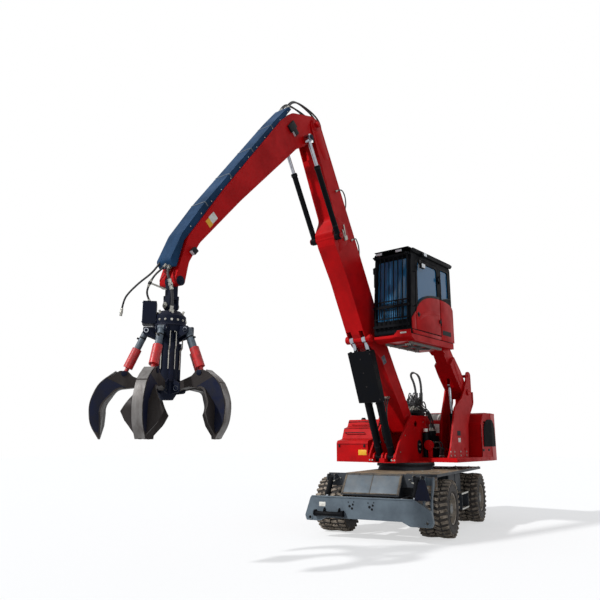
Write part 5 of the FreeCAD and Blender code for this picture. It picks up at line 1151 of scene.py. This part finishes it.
        # Short dense bars low on the front guard and its second rail.
        for i in range(13):
            y = y0 + 0.15 + i * 0.047
            bar(form, (x1 + 0.04, y, z0 + 0.34), (x1 + 0.022, y, z0 + 0.7), sizes().bar_d / 2, 8)
        for z, x in ((z0 + 0.34, x1 + 0.04), (z0 + 0.7, x1 + 0.022)):
            block(form, (x - 0.008, y0 + 0.03, z - 0.012), (x + 0.012, y1 - 0.03, z + 0.012))
    piece("guard_short_bars", "cab", "black", guard_bars)
    piece("front_lip", "cab", "red", [
        (slab, [(0.78, z0 - 0.05), (0.88, z0 + 0.06), (0.905, z0 + 0.085), (1.206, z0 + 0.085), (1.206, z0 - 0.05)],
            x1 + 0.014, x1 + 0.03, 0)], bevel=0.004)
    piece("cab_blank_plate", "cab", "plate_pale", [
        (block, (x1 + 0.0302, 0.97, z0 + 0.012), (x1 + 0.033, 1.11, z0 + 0.042))])
    piece("roof_edge", "cab", "black", [
        *[(slab, [(x0, z1 - 0.035), (x0 - 0.06, z1 + 0.02), (x0 - 0.06, z1 + 0.05), (x0 + 0.04, z1 + 0.062),
            (x1 - 0.14, z1 + 0.062), (x1 - 0.09, z1 + 0.01), (x1 - 0.11, z1 - 0.03)], low, high)
            for low, high in ((y1 + 0.0004, y1 + 0.034), (y0 - 0.016, y0 - 0.0004))],
        (block, (x0 - 0.06, y0 + 0.001, z1 + 0.02), (x0 - 0.03, y1 - 0.001, z1 + 0.055))], bevel=0.004)

    def roof_slats(form):
        for i in range(9):
            y = y0 + 0.075 + i * 0.0888
            block(form, (x0 + 0.08, y - 0.014, z1 + 0.0785), (x1 - 0.08, y + 0.014, z1 + 0.09))
    piece("roof_guard_slats", "cab", "black", roof_slats, bevel=0.002)

    lamps = [(x1 - 0.055, y0 + 0.13, z1 + 0.028), (x1 - 0.055, y0 + 0.6, z1 + 0.028)]

    piece("lamp_housings", "cab", "abs", [
        *[(block, (x - 0.06, y - 0.08, z - 0.03), (x, y + 0.08, z + 0.03)) for x, y, z in lamps],
        (block, (1.18, y1 + 0.036, z1 - 0.33), (1.33, y1 + 0.096, z1 - 0.23)),
        (bar, (1.255, y1 + 0.002, z1 - 0.23), (1.255, y1 + 0.066, z1 - 0.2), 0.012, 10),
        (block, (1.215, y1 + 0.0004, z1 - 0.235), (1.295, y1 + 0.02, z1 - 0.13)),
        (block, (1.09, y1 + 0.036, z1 - 0.06), (1.22, y1 + 0.1, z1 + 0.02)),
        (block, (x0 - 0.062, y0 + 0.12, z1 - 0.06), (x0 - 0.002, y0 + 0.26, z1 + 0.01)),
        (block, (x0 - 0.062, y1 - 0.26, z1 - 0.06), (x0 - 0.002, y1 - 0.12, z1 + 0.01))], bevel=0.005)
    piece("lamp_lenses", "cab", "lens", [
        *[(block, (x - 0.001, y - 0.07, z - 0.024), (x + 0.005, y + 0.07, z + 0.024)) for x, y, z in lamps],
        (block, (1.188, y1 + 0.093, z1 - 0.322), (1.322, y1 + 0.1, z1 - 0.238)),
        (block, (1.098, y1 + 0.098, z1 - 0.054), (1.212, y1 + 0.103, z1 + 0.014)),
        *[(block, (x0 - 0.066, y, z1 - 0.052), (x0 - 0.061, y + 0.12, z1 + 0.002))
            for y in (y0 + 0.13, y1 - 0.25)]], bevel=0.001)
    piece("beacon_foot", "cab", "abs", [
        (bar, (0.12, y0 + 0.18, z1 + 0.0785), (0.12, y0 + 0.18, z1 + 0.105), 0.06, 24)], bevel=0.002)
    piece("beacon_lens", "cab", "amber", [
        (bar, (0.12, y0 + 0.18, z1 + 0.104), (0.12, y0 + 0.18, z1 + 0.19), 0.05, 24, 0.04)], bevel=0.006)
    piece("right_mirror", "cab", "abs", [
        (bar, (1.54, y0 + 0.004, z1 - 0.23), (1.575, y0 - 0.03, z1 - 0.225), 0.011, 12),
        (bar, (1.575, y0 - 0.03, z1 - 0.225), (1.585, y0 - 0.035, z1 - 0.64), 0.011, 12),
        (bar, (1.585, y0 - 0.035, z1 - 0.64), (1.59, y0 + 0.004, z1 - 0.68), 0.011, 12),
        (block, (1.555, y0 - 0.062, z1 - 0.36), (1.585, y0 - 0.002, z1 - 0.23))], bevel=0.002)
    piece("door_post_rail", "cab", "black", [
        (bar, (1.56, y1 + 0.002, z0 + 0.56), (1.566, y1 + 0.05, z0 + 0.575), 0.01, 10),
        (bar, (1.566, y1 + 0.05, z0 + 0.575), (1.51, y1 + 0.05, z0 + 1.29), 0.011, 12),
        (bar, (1.51, y1 + 0.05, z0 + 1.29), (1.506, y1 + 0.002, z0 + 1.3), 0.01, 10)])
    piece("floor_channels", "cab", "hub", [
        *[(block, (0.18, y - 0.03, z0 - 0.165), (1.5, y + 0.03, z0 - 0.1205)) for y in (0.52, 1.06)],
        *[(block, (x - 0.035, 0.552, z0 - 0.15), (x + 0.035, 1.028, z0 - 0.1205)) for x in (0.4, 0.8, 1.2)],
        *[(bolt, (x, y, z0 - 0.165), (0, 0, -1), 0.028) for x in (0.3, 0.65, 1.0, 1.35)
            for y in (0.52, 1.06)]], bevel=0.004)
    for index, y in enumerate((0.86, 0.905, 0.95)):
        hose("floor_hose_%d" % index, "cab", [(1.33, y, z0 - 0.131), (1.28, y, z0 - 0.175),
            (0.9, y - 0.02, z0 - 0.178), (0.45, y - 0.04, z0 - 0.176), (0.33, y - 0.04, z0 - 0.131)], 0.022)

    def fittings(form):
        floor = z0 + 0.046
        middle = (y0 + y1) / 2
        bar(form, (1.33, middle, floor), (1.18, middle, floor + 0.62), 0.032, 14)
        bmesh.ops.create_cube(form, size=1.0, matrix=Matrix.Translation((1.34, y0 + 0.17, floor + 0.93))
            @ turn(18, "Z") @ Matrix.Diagonal((0.03, 0.23, 0.16, 1)))
        bar(form, (1.35, y0 + 0.17, floor + 0.56), (1.35, y0 + 0.17, floor + 0.86), 0.014, 10)
        for side in (-1, 1):
            y = middle + side * 0.29
            bar(form, (0.7, y, floor + 0.561), (0.715, y, floor + 0.7), 0.016, 12)
            bar(form, (0.715, y, floor + 0.69), (0.722, y, floor + 0.79), 0.026, 14, end_radius=0.02)
        block(form, (0.12, middle - 0.13, floor + 1.135), (0.22, middle + 0.13, floor + 1.3))
    piece("cab_fittings", "cab", "abs", fittings, bevel=0.004)

    def wheel(form):
        floor, middle = z0 + 0.046, (y0 + y1) / 2
        lean = Matrix.Translation((1.18, middle, floor + 0.63)) @ turn(-14, "Y")
        ring = []
        for i in range(28):
            a = math.tau * i / 28
            ring.append(lean @ Vector((0.175 * math.cos(a), 0.175 * math.sin(a), 0.0)))
        for a, b in zip(ring, ring[1:] + ring[:1]):
            bar(form, a, b, 0.014, 8)
        for i in range(3):
            a = math.tau * i / 3
            bar(form, lean @ Vector((0, 0, 0)), lean @ Vector((0.172 * math.cos(a), 0.172 * math.sin(a), 0)), 0.01,
                8)
    piece("steering_wheel", "cab", "abs", wheel)


class HANDLER_OT_cab(bpy.types.Operator):
    """Door and side panels, panes, guard rails, lamps, mirror, roof edge and fittings of the cab."""
    bl_idname = "handler.cab"
    bl_label = "Cab"

    def execute(self, context):
        dress_cab()
        return {"FINISHED"}


def dress_cab_lift():
    def tower_caps(form):
        x, z = ARM_PIVOT
        for side in (-1, 1):
            bar(form, (x, ARM_Y + side * 0.265, z), (x, ARM_Y + side * 0.275, z), 0.072, 28)
            ring_bolts(form, x, z, ARM_Y + side * 0.275, side, 0.045, 3, 0.4, 0.02)
    piece("tower_pin_caps", "upper", "red", tower_caps)

    def tower_edges(form):
        # Dark slot in the outer plate: a black sheet of painted shade.
        y = ARM_Y + 0.2505
        slab(form, [(-0.48, 1.9), (-0.48, 1.985), (-0.5, 2.005), (-0.63, 2.005), (-0.65, 1.985), (-0.65, 1.9)], y,
            y + 0.002)
    piece("tower_slot_shade", "upper", "abs", tower_edges, smooth=False)
    piece("tower_blank_plate", "upper", "plate_pale", [
        (block, (-0.64, ARM_Y + 0.2504, 1.76), (-0.52, ARM_Y + 0.2524, 1.85))])
    piece("tower_foot_bolts", "upper", "zinc", [
        (bolt, (x, ARM_Y + 0.25, z), (0, 1, 0), 0.026) for z in (1.48, 1.56) for x in (-0.9, -0.6, -0.3, -0.12)])

    def arm_caps(form):
        length = math.hypot(ARM_END[0] - ARM_PIVOT[0], ARM_END[1] - ARM_PIVOT[1])
        flank_slabs(form, [(0.23, 0.01), (0.26, 0.06), (0.52, 0.095), (length - 0.42, 0.075), (length - 0.4, 0.012),
            (0.56, -0.05), (0.3, -0.06)], 0.2002, 0.004)
    piece("arm_side_pads", "cab_arm", "red", arm_caps, place=ON_ARM, bevel=0.0015)

    hose("arm_loop", "cab_arm", [(0.42, 0.13, 0.12), (0.43, 0.135, 0.185), (0.54, 0.14, 0.225),
        (0.66, 0.135, 0.205), (0.72, 0.13, 0.13)], 0.022, place=ON_ARM)

    def arm_trim(form):
        for side in (-1, 1):
            s = side * 0.2
            for x, z in ((0.12, 0.02), (0.12, -0.04)):
                bolt(form, (x, s, z), (0, side, 0), 0.02)
        for x in (0.42, 0.76):
            block(form, (x - 0.02, -0.09, 0.148), (x + 0.02, 0.09, 0.176))
    piece("arm_clamps", "cab_arm", "zinc", arm_trim, place=ON_ARM)

    on_cylinder = leaning(CAB_CYL_BASE, math.degrees(math.atan2(CAB_EYE[1] - CAB_CYL_BASE[1],
        CAB_EYE[0] - CAB_CYL_BASE[0]))) @ Matrix.Translation((0.0, ARM_Y, 0.0))

    def gland(form):
        end = CAB_BARREL_END
        collar(form, end - 0.05, end - 0.03, 0.0575, 0.0595)
        collar(form, 0.15, 0.175, 0.0495, 0.056)
        for at in (0.21, end - 0.11):
            bar(form, (at, 0.0, 0.049), (at, 0.0, 0.085), 0.019, 6)
    piece("cab_cylinder_gland", "cab_barrel", "abs", gland, place=on_cylinder)


class HANDLER_OT_cab_lift(bpy.types.Operator):
    """Pin caps, slot, blank plate, bolts, side pads, clamps, hose and glands of the tower, cab arm and cylinder."""
    bl_idname = "handler.cab_lift"
    bl_label = "Cab Lift"

    def execute(self, context):
        dress_cab_lift()
        return {"FINISHED"}


def dress_boom():
    half = BOOM_HALF_W

    piece("elbow_pin_caps", "boom", "casting", [
        (flank_caps, BOOM_LEN, 0.0, half + 0.075, 0.008, 0.046),
        (flank_caps, BOOM_LEN, 0.0, half, 0.012, 0.118, 32),
        *[(ring_bolts, BOOM_LEN, 0.0, side * (half + 0.012), side, 0.09, 4, 0.5)
            for side in (-1, 1)]], place=ON_BOOM, bevel=0.001)

    def cylinder_caps(form):
        flank_caps(form, *STICK_BASE_ON_BOOM, 0.37, 0.008, 0.062)
        flank_caps(form, *LIFT_TOP_ON_BOOM, 0.3, 0.01, 0.074, 28)
        for side in (-1, 1):
            bolt(form, (STICK_BASE_ON_BOOM[0], side * 0.378, STICK_BASE_ON_BOOM[1]), (0, side, 0), 0.03)
            ring_bolts(form, *LIFT_TOP_ON_BOOM, side * 0.31, side, 0.045, 2, 0.4)
    piece("boom_cylinder_caps", "boom", "casting", cylinder_caps, place=ON_BOOM, bevel=0.001)
    # Wrapper plates welded round the boom below the elbow and at the cylinder's lug.
    piece("boom_doublers", "boom", "red", [
        (flank_slabs, [(4.18, -0.56), (4.26, -0.2), (4.42, -0.08), (4.64, -0.08), (4.78, -0.22), (4.84, -0.33)],
            half, 0.006),
        (flank_slabs, [(5.98, 0.06), (5.98, -0.08), (6.3, -0.14), (6.56, -0.12), (6.6, 0.1), (6.3, 0.11)], half,
            0.006)], place=ON_BOOM, bevel=0.003)

    def seams(form):
        for side in (-1, 1):
            s = side * (half - 0.001)
            rods(form, [(0.7, 0.096), (2.0, 0.046), (4.3, 0.104), (6.56, 0.15)], s, 0.005, 6)
    piece("boom_weld_seams", "boom", "red", seams, place=ON_BOOM)
    # Two steel lines on each edge of the boom's back.
    piece("boom_pipes", "boom", "zinc", [
        (rods, [(0.76, 0.15), (2.0, 0.085), (3.3, 0.118), (4.3, 0.152), (5.9, 0.184)], y, 0.013, 10)
            for y in (-0.12, -0.075, 0.075, 0.12)], place=ON_BOOM)
    piece("boom_pipe_clamps", "boom", "abs", [
        (block, (x - 0.022, y - 0.048, z), (x + 0.022, y + 0.048, z + 0.042))
            for x, z in ((1.2, 0.114), (2.1, 0.076), (2.9, 0.094), (3.7, 0.122), (4.7, 0.146), (5.5, 0.162))
            for y in (-0.098, 0.098)], place=ON_BOOM, bevel=0.003)
    # Plates standing on the back where hoses leave the pipes.
    piece("boom_back_brackets", "boom", "red", [
        (slab, [(x - 0.09, z), (x - 0.05, z + 0.07), (x + 0.03, z + 0.075), (x + 0.07, z)], low, low + 0.016)
            for x, z in ((3.98, 0.09), (5.08, 0.13), (5.98, 0.155))
            for low in (0.15, -0.166)], place=ON_BOOM, bevel=0.002)
    piece("boom_blank_plate", "boom", "grey_blue", [
        (block, (1.56, half + 0.0004, -0.3), (1.74, half + 0.003, -0.16))], place=ON_BOOM)

    # Loops that leave the side of the boom, stand out behind its back and return.
    for index, (x, reach) in enumerate(((5.3, 0.3), (4.25, 0.23))):
        hose("back_loop_%d" % index, "boom", [(x + 0.02, half + 0.016, -0.06), (x + 0.03, half + 0.05, 0.06),
            (x - 0.04, half - 0.03, reach - 0.02), (x - 0.2, half - 0.07, reach + 0.05),
            (x - 0.38, half - 0.09, reach - 0.01), (x - 0.44, half - 0.095, 0.19)], 0.026, place=ON_BOOM)
    for index, y in enumerate((-0.07, 0.0, 0.07)):
        hose("boom_foot_hose_%d" % index, "boom", [(0.78, y, 0.15), (0.56, y, 0.2), (0.3, y, 0.225),
            (0.04, y, 0.228), (-0.12, y, 0.19), (-0.182, y, 0.06)], 0.03, place=ON_BOOM)
    # Fitting cluster on the left cylinder's barrel foot.
    piece("boom_fitting_cluster", "boom", "zinc", [
        (block, (4.33, half + 0.0004, -0.3), (4.42, half + 0.044, -0.2)),
        (bar, (4.42, half + 0.024, -0.225), (4.64, half + 0.024, -0.17), 0.013, 10),
        (bar, (4.42, half + 0.024, -0.275), (4.56, half + 0.024, -0.262), 0.013, 10)], place=ON_BOOM, bevel=0.002)

    lift_length = math.hypot(LIFT_TOP[0] - LIFT_BASE[0], LIFT_TOP[1] - LIFT_BASE[1])
    mouth = lift_length * LIFT_SHARE

    def glands(form):
        for y in (-0.148, 0.148):
            collar(form, mouth - 0.075, mouth - 0.05, 0.0865, 0.0885, y, 32)
            collar(form, 0.23, 0.255, 0.0745, 0.077, y, 32)
            inward = -math.copysign(1.0, y)
            for x in (0.33, mouth - 0.16):
                bar(form, (x, y + inward * 0.074, 0.0), (x, y + inward * 0.106, 0.0), 0.021, 6)
            bar(form, (0.36, y + inward * 0.092, 0.0), (mouth - 0.16, y + inward * 0.092, 0.0), 0.011, 10)
    piece("lift_glands", "lift_barrels", "abs", glands, place=ON_LIFT, bevel=0.0015)

    def guard_trim(form):
        for x in (0.42, 0.78, 1.14):
            at = lift_length - 1.33 + x * 0.82
            bar(form, (at, 0.0, -0.13), (at, 0.0, -0.134), 0.015, 20)
        for y in (-0.255, 0.255):
            for x in (lift_length - 1.27, lift_length - 0.3):
                bolt(form, (x, y, -0.13), (0, 0, -1), 0.024)
    piece("lift_guard_bolts", "lift_rods", "tine", guard_trim, place=ON_LIFT)
    piece("lift_guard_rim", "lift_rods", "black", [
        *[(bar, (lift_length - 1.326, y, -0.128), (lift_length - 0.244, y, -0.128), 0.007, 8)
            for y in (-0.274, 0.274)],
        *[(bar, (x, -0.276, -0.125), (x, 0.276, -0.125), 0.007, 8)
            for x in (lift_length - 1.328, lift_length - 0.242)]], place=ON_LIFT)


class HANDLER_OT_boom(bpy.types.Operator):
    """Pin caps, pipes, brackets, plates, seams and hose loops of the boom, and the lift cylinders' fittings."""
    bl_idname = "handler.boom"
    bl_label = "Boom"

    def execute(self, context):
        dress_boom()
        return {"FINISHED"}


def dress_stick():
    half = STICK_HALF_W
    length = math.hypot(STICK_EYE[0] - STICK_BASE[0], STICK_EYE[1] - STICK_BASE[1])
    mouth = length * STICK_SHARE

    def cover_seams(form):
        end = STICK_LEN - 0.138
        for share in (0.06, 0.3, 0.54, 0.78):
            x = 1.01 + (end - 1.46) * share
            z = 0.654 + (0.545 - 0.654) * min(1.0, (x - 1.01) / (end - 2.21))
            block(form, (x - 0.012, -half + 0.026, z - 0.09), (x + 0.012, half - 0.026, z + 0.006))
    piece("cover_bands", "stick", "grey_blue", cover_seams, place=ON_STICK, bevel=0.003)

    def cover_bolts(form):
        for side in (-1, 1):
            for i in range(12):
                x = 0.56 + i * 0.335
                z = 0.585 - max(0.0, x - 1.0) * 0.046
                bolt(form, (x, side * (half - 0.03), z + 0.012), (0, side, 0), washer=False)
    piece("cover_bolts", "stick", "zinc", cover_bolts, place=ON_STICK)
    piece("stick_blank_plate", "stick", "plate_pale", [
        (block, (3.69, half + 0.0004, 0.215), (3.85, half + 0.003, 0.345))], place=ON_STICK)
    piece("stick_blank_plate_b", "stick", "plate_yellow", [
        (block, (3.85, half + 0.0004, 0.205), (3.95, half + 0.003, 0.335))], place=ON_STICK)

    def seams(form):
        for side in (-1, 1):
            s = side * (half - 0.001)
            rods(form, [(0.9, 0.02), (3.0, 0.15), (4.3, 0.19)], s, 0.005, 6)
            rods(form, [(0.95, 0.545), (3.2, 0.44), (4.4, 0.345)], s, 0.005, 6)
    piece("stick_weld_seams", "stick", "red", seams, place=ON_STICK)
    piece("stick_lamp_housings", "stick", "abs", [
        (flank_blocks, (0.6, 0.83), (0.27, 0.42), half, 0.04),
        (flank_blocks, (0.65, 0.78), (0.16, 0.28), half, 0.042),
        (flank_blocks, (4.48, 4.58), (0.12, 0.21), 0.2, 0.07)], place=ON_STICK, bevel=0.006)
    piece("stick_lamp_lenses", "stick", "lens", [
        (flank_blocks, (0.779, 0.784), (0.17, 0.27), half + 0.004, 0.034),
        (flank_blocks, (4.579, 4.584), (0.126, 0.204), 0.206, 0.058)], place=ON_STICK)
    piece("tip_lamp_feet", "stick", "abs", [
        (flank_blocks, (4.5, 4.56), (0.14, 0.19), half - 0.002, 0.024)], place=ON_STICK)
    piece("tip_pin_caps", "stick", "graphite", [
        (flank_caps, STICK_LEN, 0.0, half + 0.02, 0.008, 0.052),
        (flank_caps, STICK_LEN, 0.0, half, 0.01, 0.075, 28),
        *[(bolt, (STICK_LEN, side * (half + 0.028), 0.0), (0, side, 0), 0.026)
            for side in (-1, 1)]], place=ON_STICK, bevel=0.001)
    piece("rod_eye_caps", "stick_rods", "graphite", [
        (flank_caps, 0.556, -0.024, STICK_CYL_Y + 0.08, 0.008, 0.055)], place=ON_STICK, bevel=0.002)

    def glands(form):
        for y in (-STICK_CYL_Y, STICK_CYL_Y):
            collar(form, mouth - 0.056, mouth - 0.034, 0.0622, 0.0645, y)
            collar(form, mouth + 0.0005, mouth + 0.01, 0.0375, 0.056, y, 8)
            collar(form, 0.2, 0.22, 0.0535, 0.056, y)
            for x in (0.26, mouth - 0.11):
                bar(form, (x, y, 0.053), (x, y, 0.082), 0.017, 6)
            bar(form, (0.27, y, 0.07), (mouth - 0.11, y, 0.07), 0.009, 10)
    piece("stick_cylinder_glands", "stick_barrels", "abs", glands, place=ON_STICK_CYL, bevel=0.001)

    # Hoses that leave the cover's head, arc over the elbow and come down on the boom's back.
    for index, (y, rise, lead) in enumerate(((-0.11, 0.34, 0.0), (-0.06, 0.28, 0.04), (0.05, 0.365, 0.02),
            (0.11, 0.31, 0.05))):
        first = ON_STICK @ Vector((0.42, y, 0.615))
        second = ON_STICK @ Vector((0.24 + lead, y, 0.665))
        last = ON_BOOM @ Vector((6.15 + lead, y, 0.168))
        before = ON_BOOM @ Vector((6.42 + lead, y, 0.26))
        crown = ON_STICK @ Vector((0.01, y, 0.56)) + Vector((0.0, 0.0, rise - 0.3))
        over = ON_BOOM @ Vector((6.7, y, 0.3)) + Vector((0.0, 0.0, 0.12))
        hose("elbow_hose_%d" % index, None, [last, before, over, crown, second, first], 0.034,
            blend=("boom", "stick", tuple(last), tuple(first)))


class HANDLER_OT_stick(bpy.types.Operator):
    """Cover bands, plates, lamps and pin caps of the stick, its cylinders' fittings and the elbow's hoses."""
    bl_idname = "handler.stick"
    bl_label = "Stick"

    def execute(self, context):
        dress_stick()
        return {"FINISHED"}


def dress_grapple():
    low = TIP[1] - ROTATOR_DROP
    pivot = (0.215, TIP[1] - 1.568)
    top_eye, low_eye = (0.33, TIP[1] - 0.738), (0.6, TIP[1] - 1.368)

    def near(x, y, z):
        return Vector((TIP[0] + x, y, TIP[1] + z))

    def near_ring(radius, a, z):
        return near(radius * math.cos(a), radius * math.sin(a), z)

    def turned(index):
        return Matrix.Translation((TIP[0], 0, 0)) @ turn(TINES_TURN + 360.0 / TINES * index, "Z")

    def rounded(points, steps=5):
        # Corners (x, z, radius) turned into short runs of points.
        made = []
        for before, (x, z, r), after in zip(points, points[1:], points[2:]):
            here = Vector((x, z))
            back, on = Vector(before[:2]) - here, Vector(after[:2]) - here
            reach = min(0.45 * back.length, 0.45 * on.length, r)
            a, b = here + back.normalized() * reach, here + on.normalized() * reach
            made += [a.lerp(here, t / steps).lerp(here.lerp(b, t / steps), t / steps) for t in range(steps + 1)]
        return [points[0][:2]] + [(p.x, p.y) for p in made] + [points[-1][:2]]

    x, z = pivot
    back = rounded([(low_eye[0] + 0.11, low_eye[1] + 0.03), (0.94, z + 0.06, 0.18), (1.05, z - 0.22, 0.26),
        (1.02, z - 0.5, 0.22), (0.891, z - 0.697)])
    inner = rounded([(0.862, z - 0.64), (0.855, z - 0.52, 0.2), (0.86, z - 0.25, 0.22), (0.69, z - 0.025, 0.16),
        (0.56, z + 0.002)])

    def strip(form):
        # Steel polished by the load, painted paler for the sunlight on it: stands on the rib's back.
        outer = []
        for i, p in enumerate(back):
            a, b = Vector(back[max(0, i - 1)]), Vector(back[min(len(back) - 1, i + 1)])
            way = (b - a).normalized()
            outer.append((p[0] - way.y * 0.009, p[1] + way.x * 0.009))
        slab(form, back + outer[::-1], -0.071, 0.071)

    # The rib's flanks, in blue-black painted shade.
    def cheeks(form):
        face = [(p[0] - 0.006, p[1] - 0.004) for p in back[1:-1]] + [(p[0] + 0.006, p[1] + 0.006) for p in inner]
        flank_slabs(form, face, 0.0752, 0.0023)

    def pins(form):
        flank_caps(form, low_eye[0], low_eye[1], 0.0752, 0.0108, 0.04, 20)
    way = Vector((low_eye[0] - top_eye[0], 0, low_eye[1] - top_eye[1]))
    on_cylinder = Matrix.Translation((top_eye[0], 0, top_eye[1])) @ Matrix.Rotation(-math.atan2(way.z, way.x), 4,
        "Y")

    def gland(form):
        collar(form, 0.11, 0.13, 0.0475, 0.05)
        bar(form, (0.15, 0, 0.047), (0.15, 0, 0.074), 0.016, 6)
    for i in range(TINES):
        place = turned(i)
        piece("tine_strip_%d" % (i + 1), "tine_%d" % (i + 1), "scoured_and_sunlit", strip, place=place)
        piece("tine_cheeks_%d" % (i + 1), "tine_%d" % (i + 1), "navy", cheeks, place=place)
        piece("tine_pins_%d" % (i + 1), "tine_%d" % (i + 1), "graphite", pins, place=place, bevel=0.001)
        piece("tine_gland_%d" % (i + 1), "tine_barrel_%d" % (i + 1), "abs", gland, place=place @ on_cylinder)

    def hub_caps(form):
        for i in range(TINES):
            first = len(form.verts)
            flank_caps(form, top_eye[0], top_eye[1], 0.076, 0.008, 0.034, 18)
            flank_caps(form, pivot[0], pivot[1], 0.074, 0.008, 0.042, 18)
            shifted(form, first, turned(i))
    piece("hub_pin_caps", "grapple", "chrome", hub_caps)

    def hub_pipes(form):
        for i in range(TINES):
            m = turned(i + 0.5)
            for y in (-0.045, 0.045):
                run = [(0.19, y, low - 0.082), (0.19, y, low - 0.3), (0.16, y, low - 0.35), (0.16, y, low - 0.62)]
                for a, b in zip(run, run[1:]):
                    bar(form, m @ Vector(a), m @ Vector(b), 0.009, 8)
    piece("hub_pipes", "grapple", "zinc", hub_pipes)
    piece("hub_ribs", "grapple", "navy", [
        (block, (0.14, -0.03, pivot[1] + 0.09), (0.178, 0.03, low - 0.24), turned(i + 0.5))
            for i in range(TINES)], bevel=0.004)

    def hub_bolts(form):
        for i in range(20):
            a = math.tau * i / 20
            bolt(form, near_ring(0.205, a, -ROTATOR_DROP - 0.08), (0, 0, -1))
    piece("hub_head_bolts", "grapple", "zinc", hub_bolts)
    piece("rotator_flange", "rotator_head", "navy", [
        (bar, near(0, 0, 0.004 - ROTATOR_DROP), near(0, 0, 0.03 - ROTATOR_DROP), 0.243, 48)], bevel=0.003)

    def rotator_bolts(form):
        for i in range(16):
            a = math.tau * (i + 0.5) / 16
            bolt(form, near_ring(0.231, a, 0.085 - ROTATOR_DROP), (math.cos(a), math.sin(a), 0), 0.024)
        for i in range(6):
            a = math.tau * i / 6
            bar(form, near_ring(0.185, a, 0.185 - ROTATOR_DROP), near_ring(0.205, a, 0.232 - ROTATOR_DROP), 0.018,
                6)
    piece("rotator_bolts", "rotator_head", "zinc", rotator_bolts)

    def box_trim(form):
        m = Matrix.Translation((TIP[0], 0, low)) @ turn(BOX_TURN, "Z")
        block(form, (0.39, -0.132, 0.038), (0.396, 0.132, 0.352), place=m)
        for y in (-0.115, 0.115):
            for h in (0.055, 0.335):
                bolt(form, m @ Vector((0.396, y, h)), m.to_3x3() @ Vector((1, 0, 0)), 0.016)
        bar(form, m @ Vector((0.3, -0.06, 0.36)), m @ Vector((0.3, -0.06, 0.392)), 0.022, 6)
    piece("rotator_box_lid", "rotator_head", "sky_reflection_slate", box_trim, bevel=0.002)

    def link_trim(form):
        for side in (-1, 1):
            bar(form, near(side * 0.11, 0, -0.36), near(side * 0.118, 0, -0.36), 0.048, 20)
            bolt(form, near(side * 0.118, 0, -0.36), (side, 0, 0))
        bar(form, near(0.065, -0.04, -0.11), near(0.285, -0.125, -0.045), 0.014, 10)
        bar(form, near(0.06, 0.05, -0.11), near(0.155, 0.16, -0.085), 0.014, 10)
    piece("hanger_caps", "hanger", "zinc", link_trim)
    piece("hanger_hose_clips", "hanger", "abs", [
        (bar, near(0.298, -0.118, -0.022), near(0.302, -0.142, -0.058), 0.026, 14),
        (bar, near(0.166, 0.164, -0.058), near(0.154, 0.176, -0.102), 0.031, 14)])
    runs = (("a", 0.03, [(0.14, 0.02, 0.245), (0.2, 0.0, 0.17), (0.29, -0.06, 0.06), (0.3, -0.13, -0.04)],
        [(0.3, -0.13, -0.04), (0.305, -0.195, -0.14), (0.262, -0.215, -0.24), (0.226, -0.19, -0.318)]),
        ("b", 0.042, [(0.12, 0.08, 0.215), (0.2, 0.125, 0.09), (0.185, 0.165, 0.0), (0.16, 0.17, -0.08)],
        [(0.16, 0.17, -0.08), (0.13, 0.18, -0.2), (0.105, 0.16, -0.35), (0.094, 0.128, -0.462)]))
    for name, d, first, second in runs:
        one, two = [near(*p) for p in first], [near(*p) for p in second]
        hose("tip_hose_%s1" % name, None, one, d, blend=("stick", "hanger", tuple(one[0]), tuple(one[-1])))
        hose("tip_hose_%s2" % name, None, two, d, blend=("hanger", "rotator_head", tuple(two[0]), tuple(two[-1])))


class HANDLER_OT_grapple(bpy.types.Operator):
    """Wear strips with painted sunlight, rib sides in painted shade, pin caps, pipes, bolts and hoses of the
    hanger, rotator and grapple.
    """
    bl_idname = "handler.grapple"
    bl_label = "Grapple"

    def execute(self, context):
        dress_grapple()
        return {"FINISHED"}


OPERATORS = [HANDLER_OT_finishes, HANDLER_OT_stage, HANDLER_OT_hanging_hose, HANDLER_OT_tyres,
    HANDLER_OT_wheel_discs, HANDLER_OT_undercarriage, HANDLER_OT_blade, HANDLER_OT_upper, HANDLER_OT_valve_bay,
    HANDLER_OT_cab, HANDLER_OT_cab_lift, HANDLER_OT_boom, HANDLER_OT_stick, HANDLER_OT_grapple]


class HANDLER_PT_panel(bpy.types.Panel):
    """Lists the handler's sizes, colours and pieces."""
    bl_idname = "HANDLER_PT_panel"
    bl_label = "Material Handler"
    bl_space_type = "VIEW_3D"
    bl_region_type = "UI"
    bl_category = "Handler"

    def draw(self, context):
        for group in (context.scene.handler_sizes, context.scene.handler_colours):
            column = self.layout.column()
            for key in group.bl_rna.properties.keys():
                if key not in ("rna_type", "name"):
                    column.prop(group, key)
        for operator in OPERATORS:
            self.layout.operator(operator.bl_idname)


CLASSES = [HandlerColours, HandlerSizes] + OPERATORS + [HANDLER_PT_panel]


def register():
    for item in CLASSES:
        bpy.utils.register_class(item)
    bpy.types.Scene.handler_colours = bpy.props.PointerProperty(type=HandlerColours)
    bpy.types.Scene.handler_sizes = bpy.props.PointerProperty(type=HandlerSizes)


def unregister():
    del bpy.types.Scene.handler_sizes
    del bpy.types.Scene.handler_colours
    for item in reversed(CLASSES):
        bpy.utils.unregister_class(item)


def main():
    register()
    for operator in OPERATORS:
        category, name = operator.bl_idname.split(".")
        getattr(getattr(bpy.ops, category), name)()


if __name__ == "__main__":
    main()
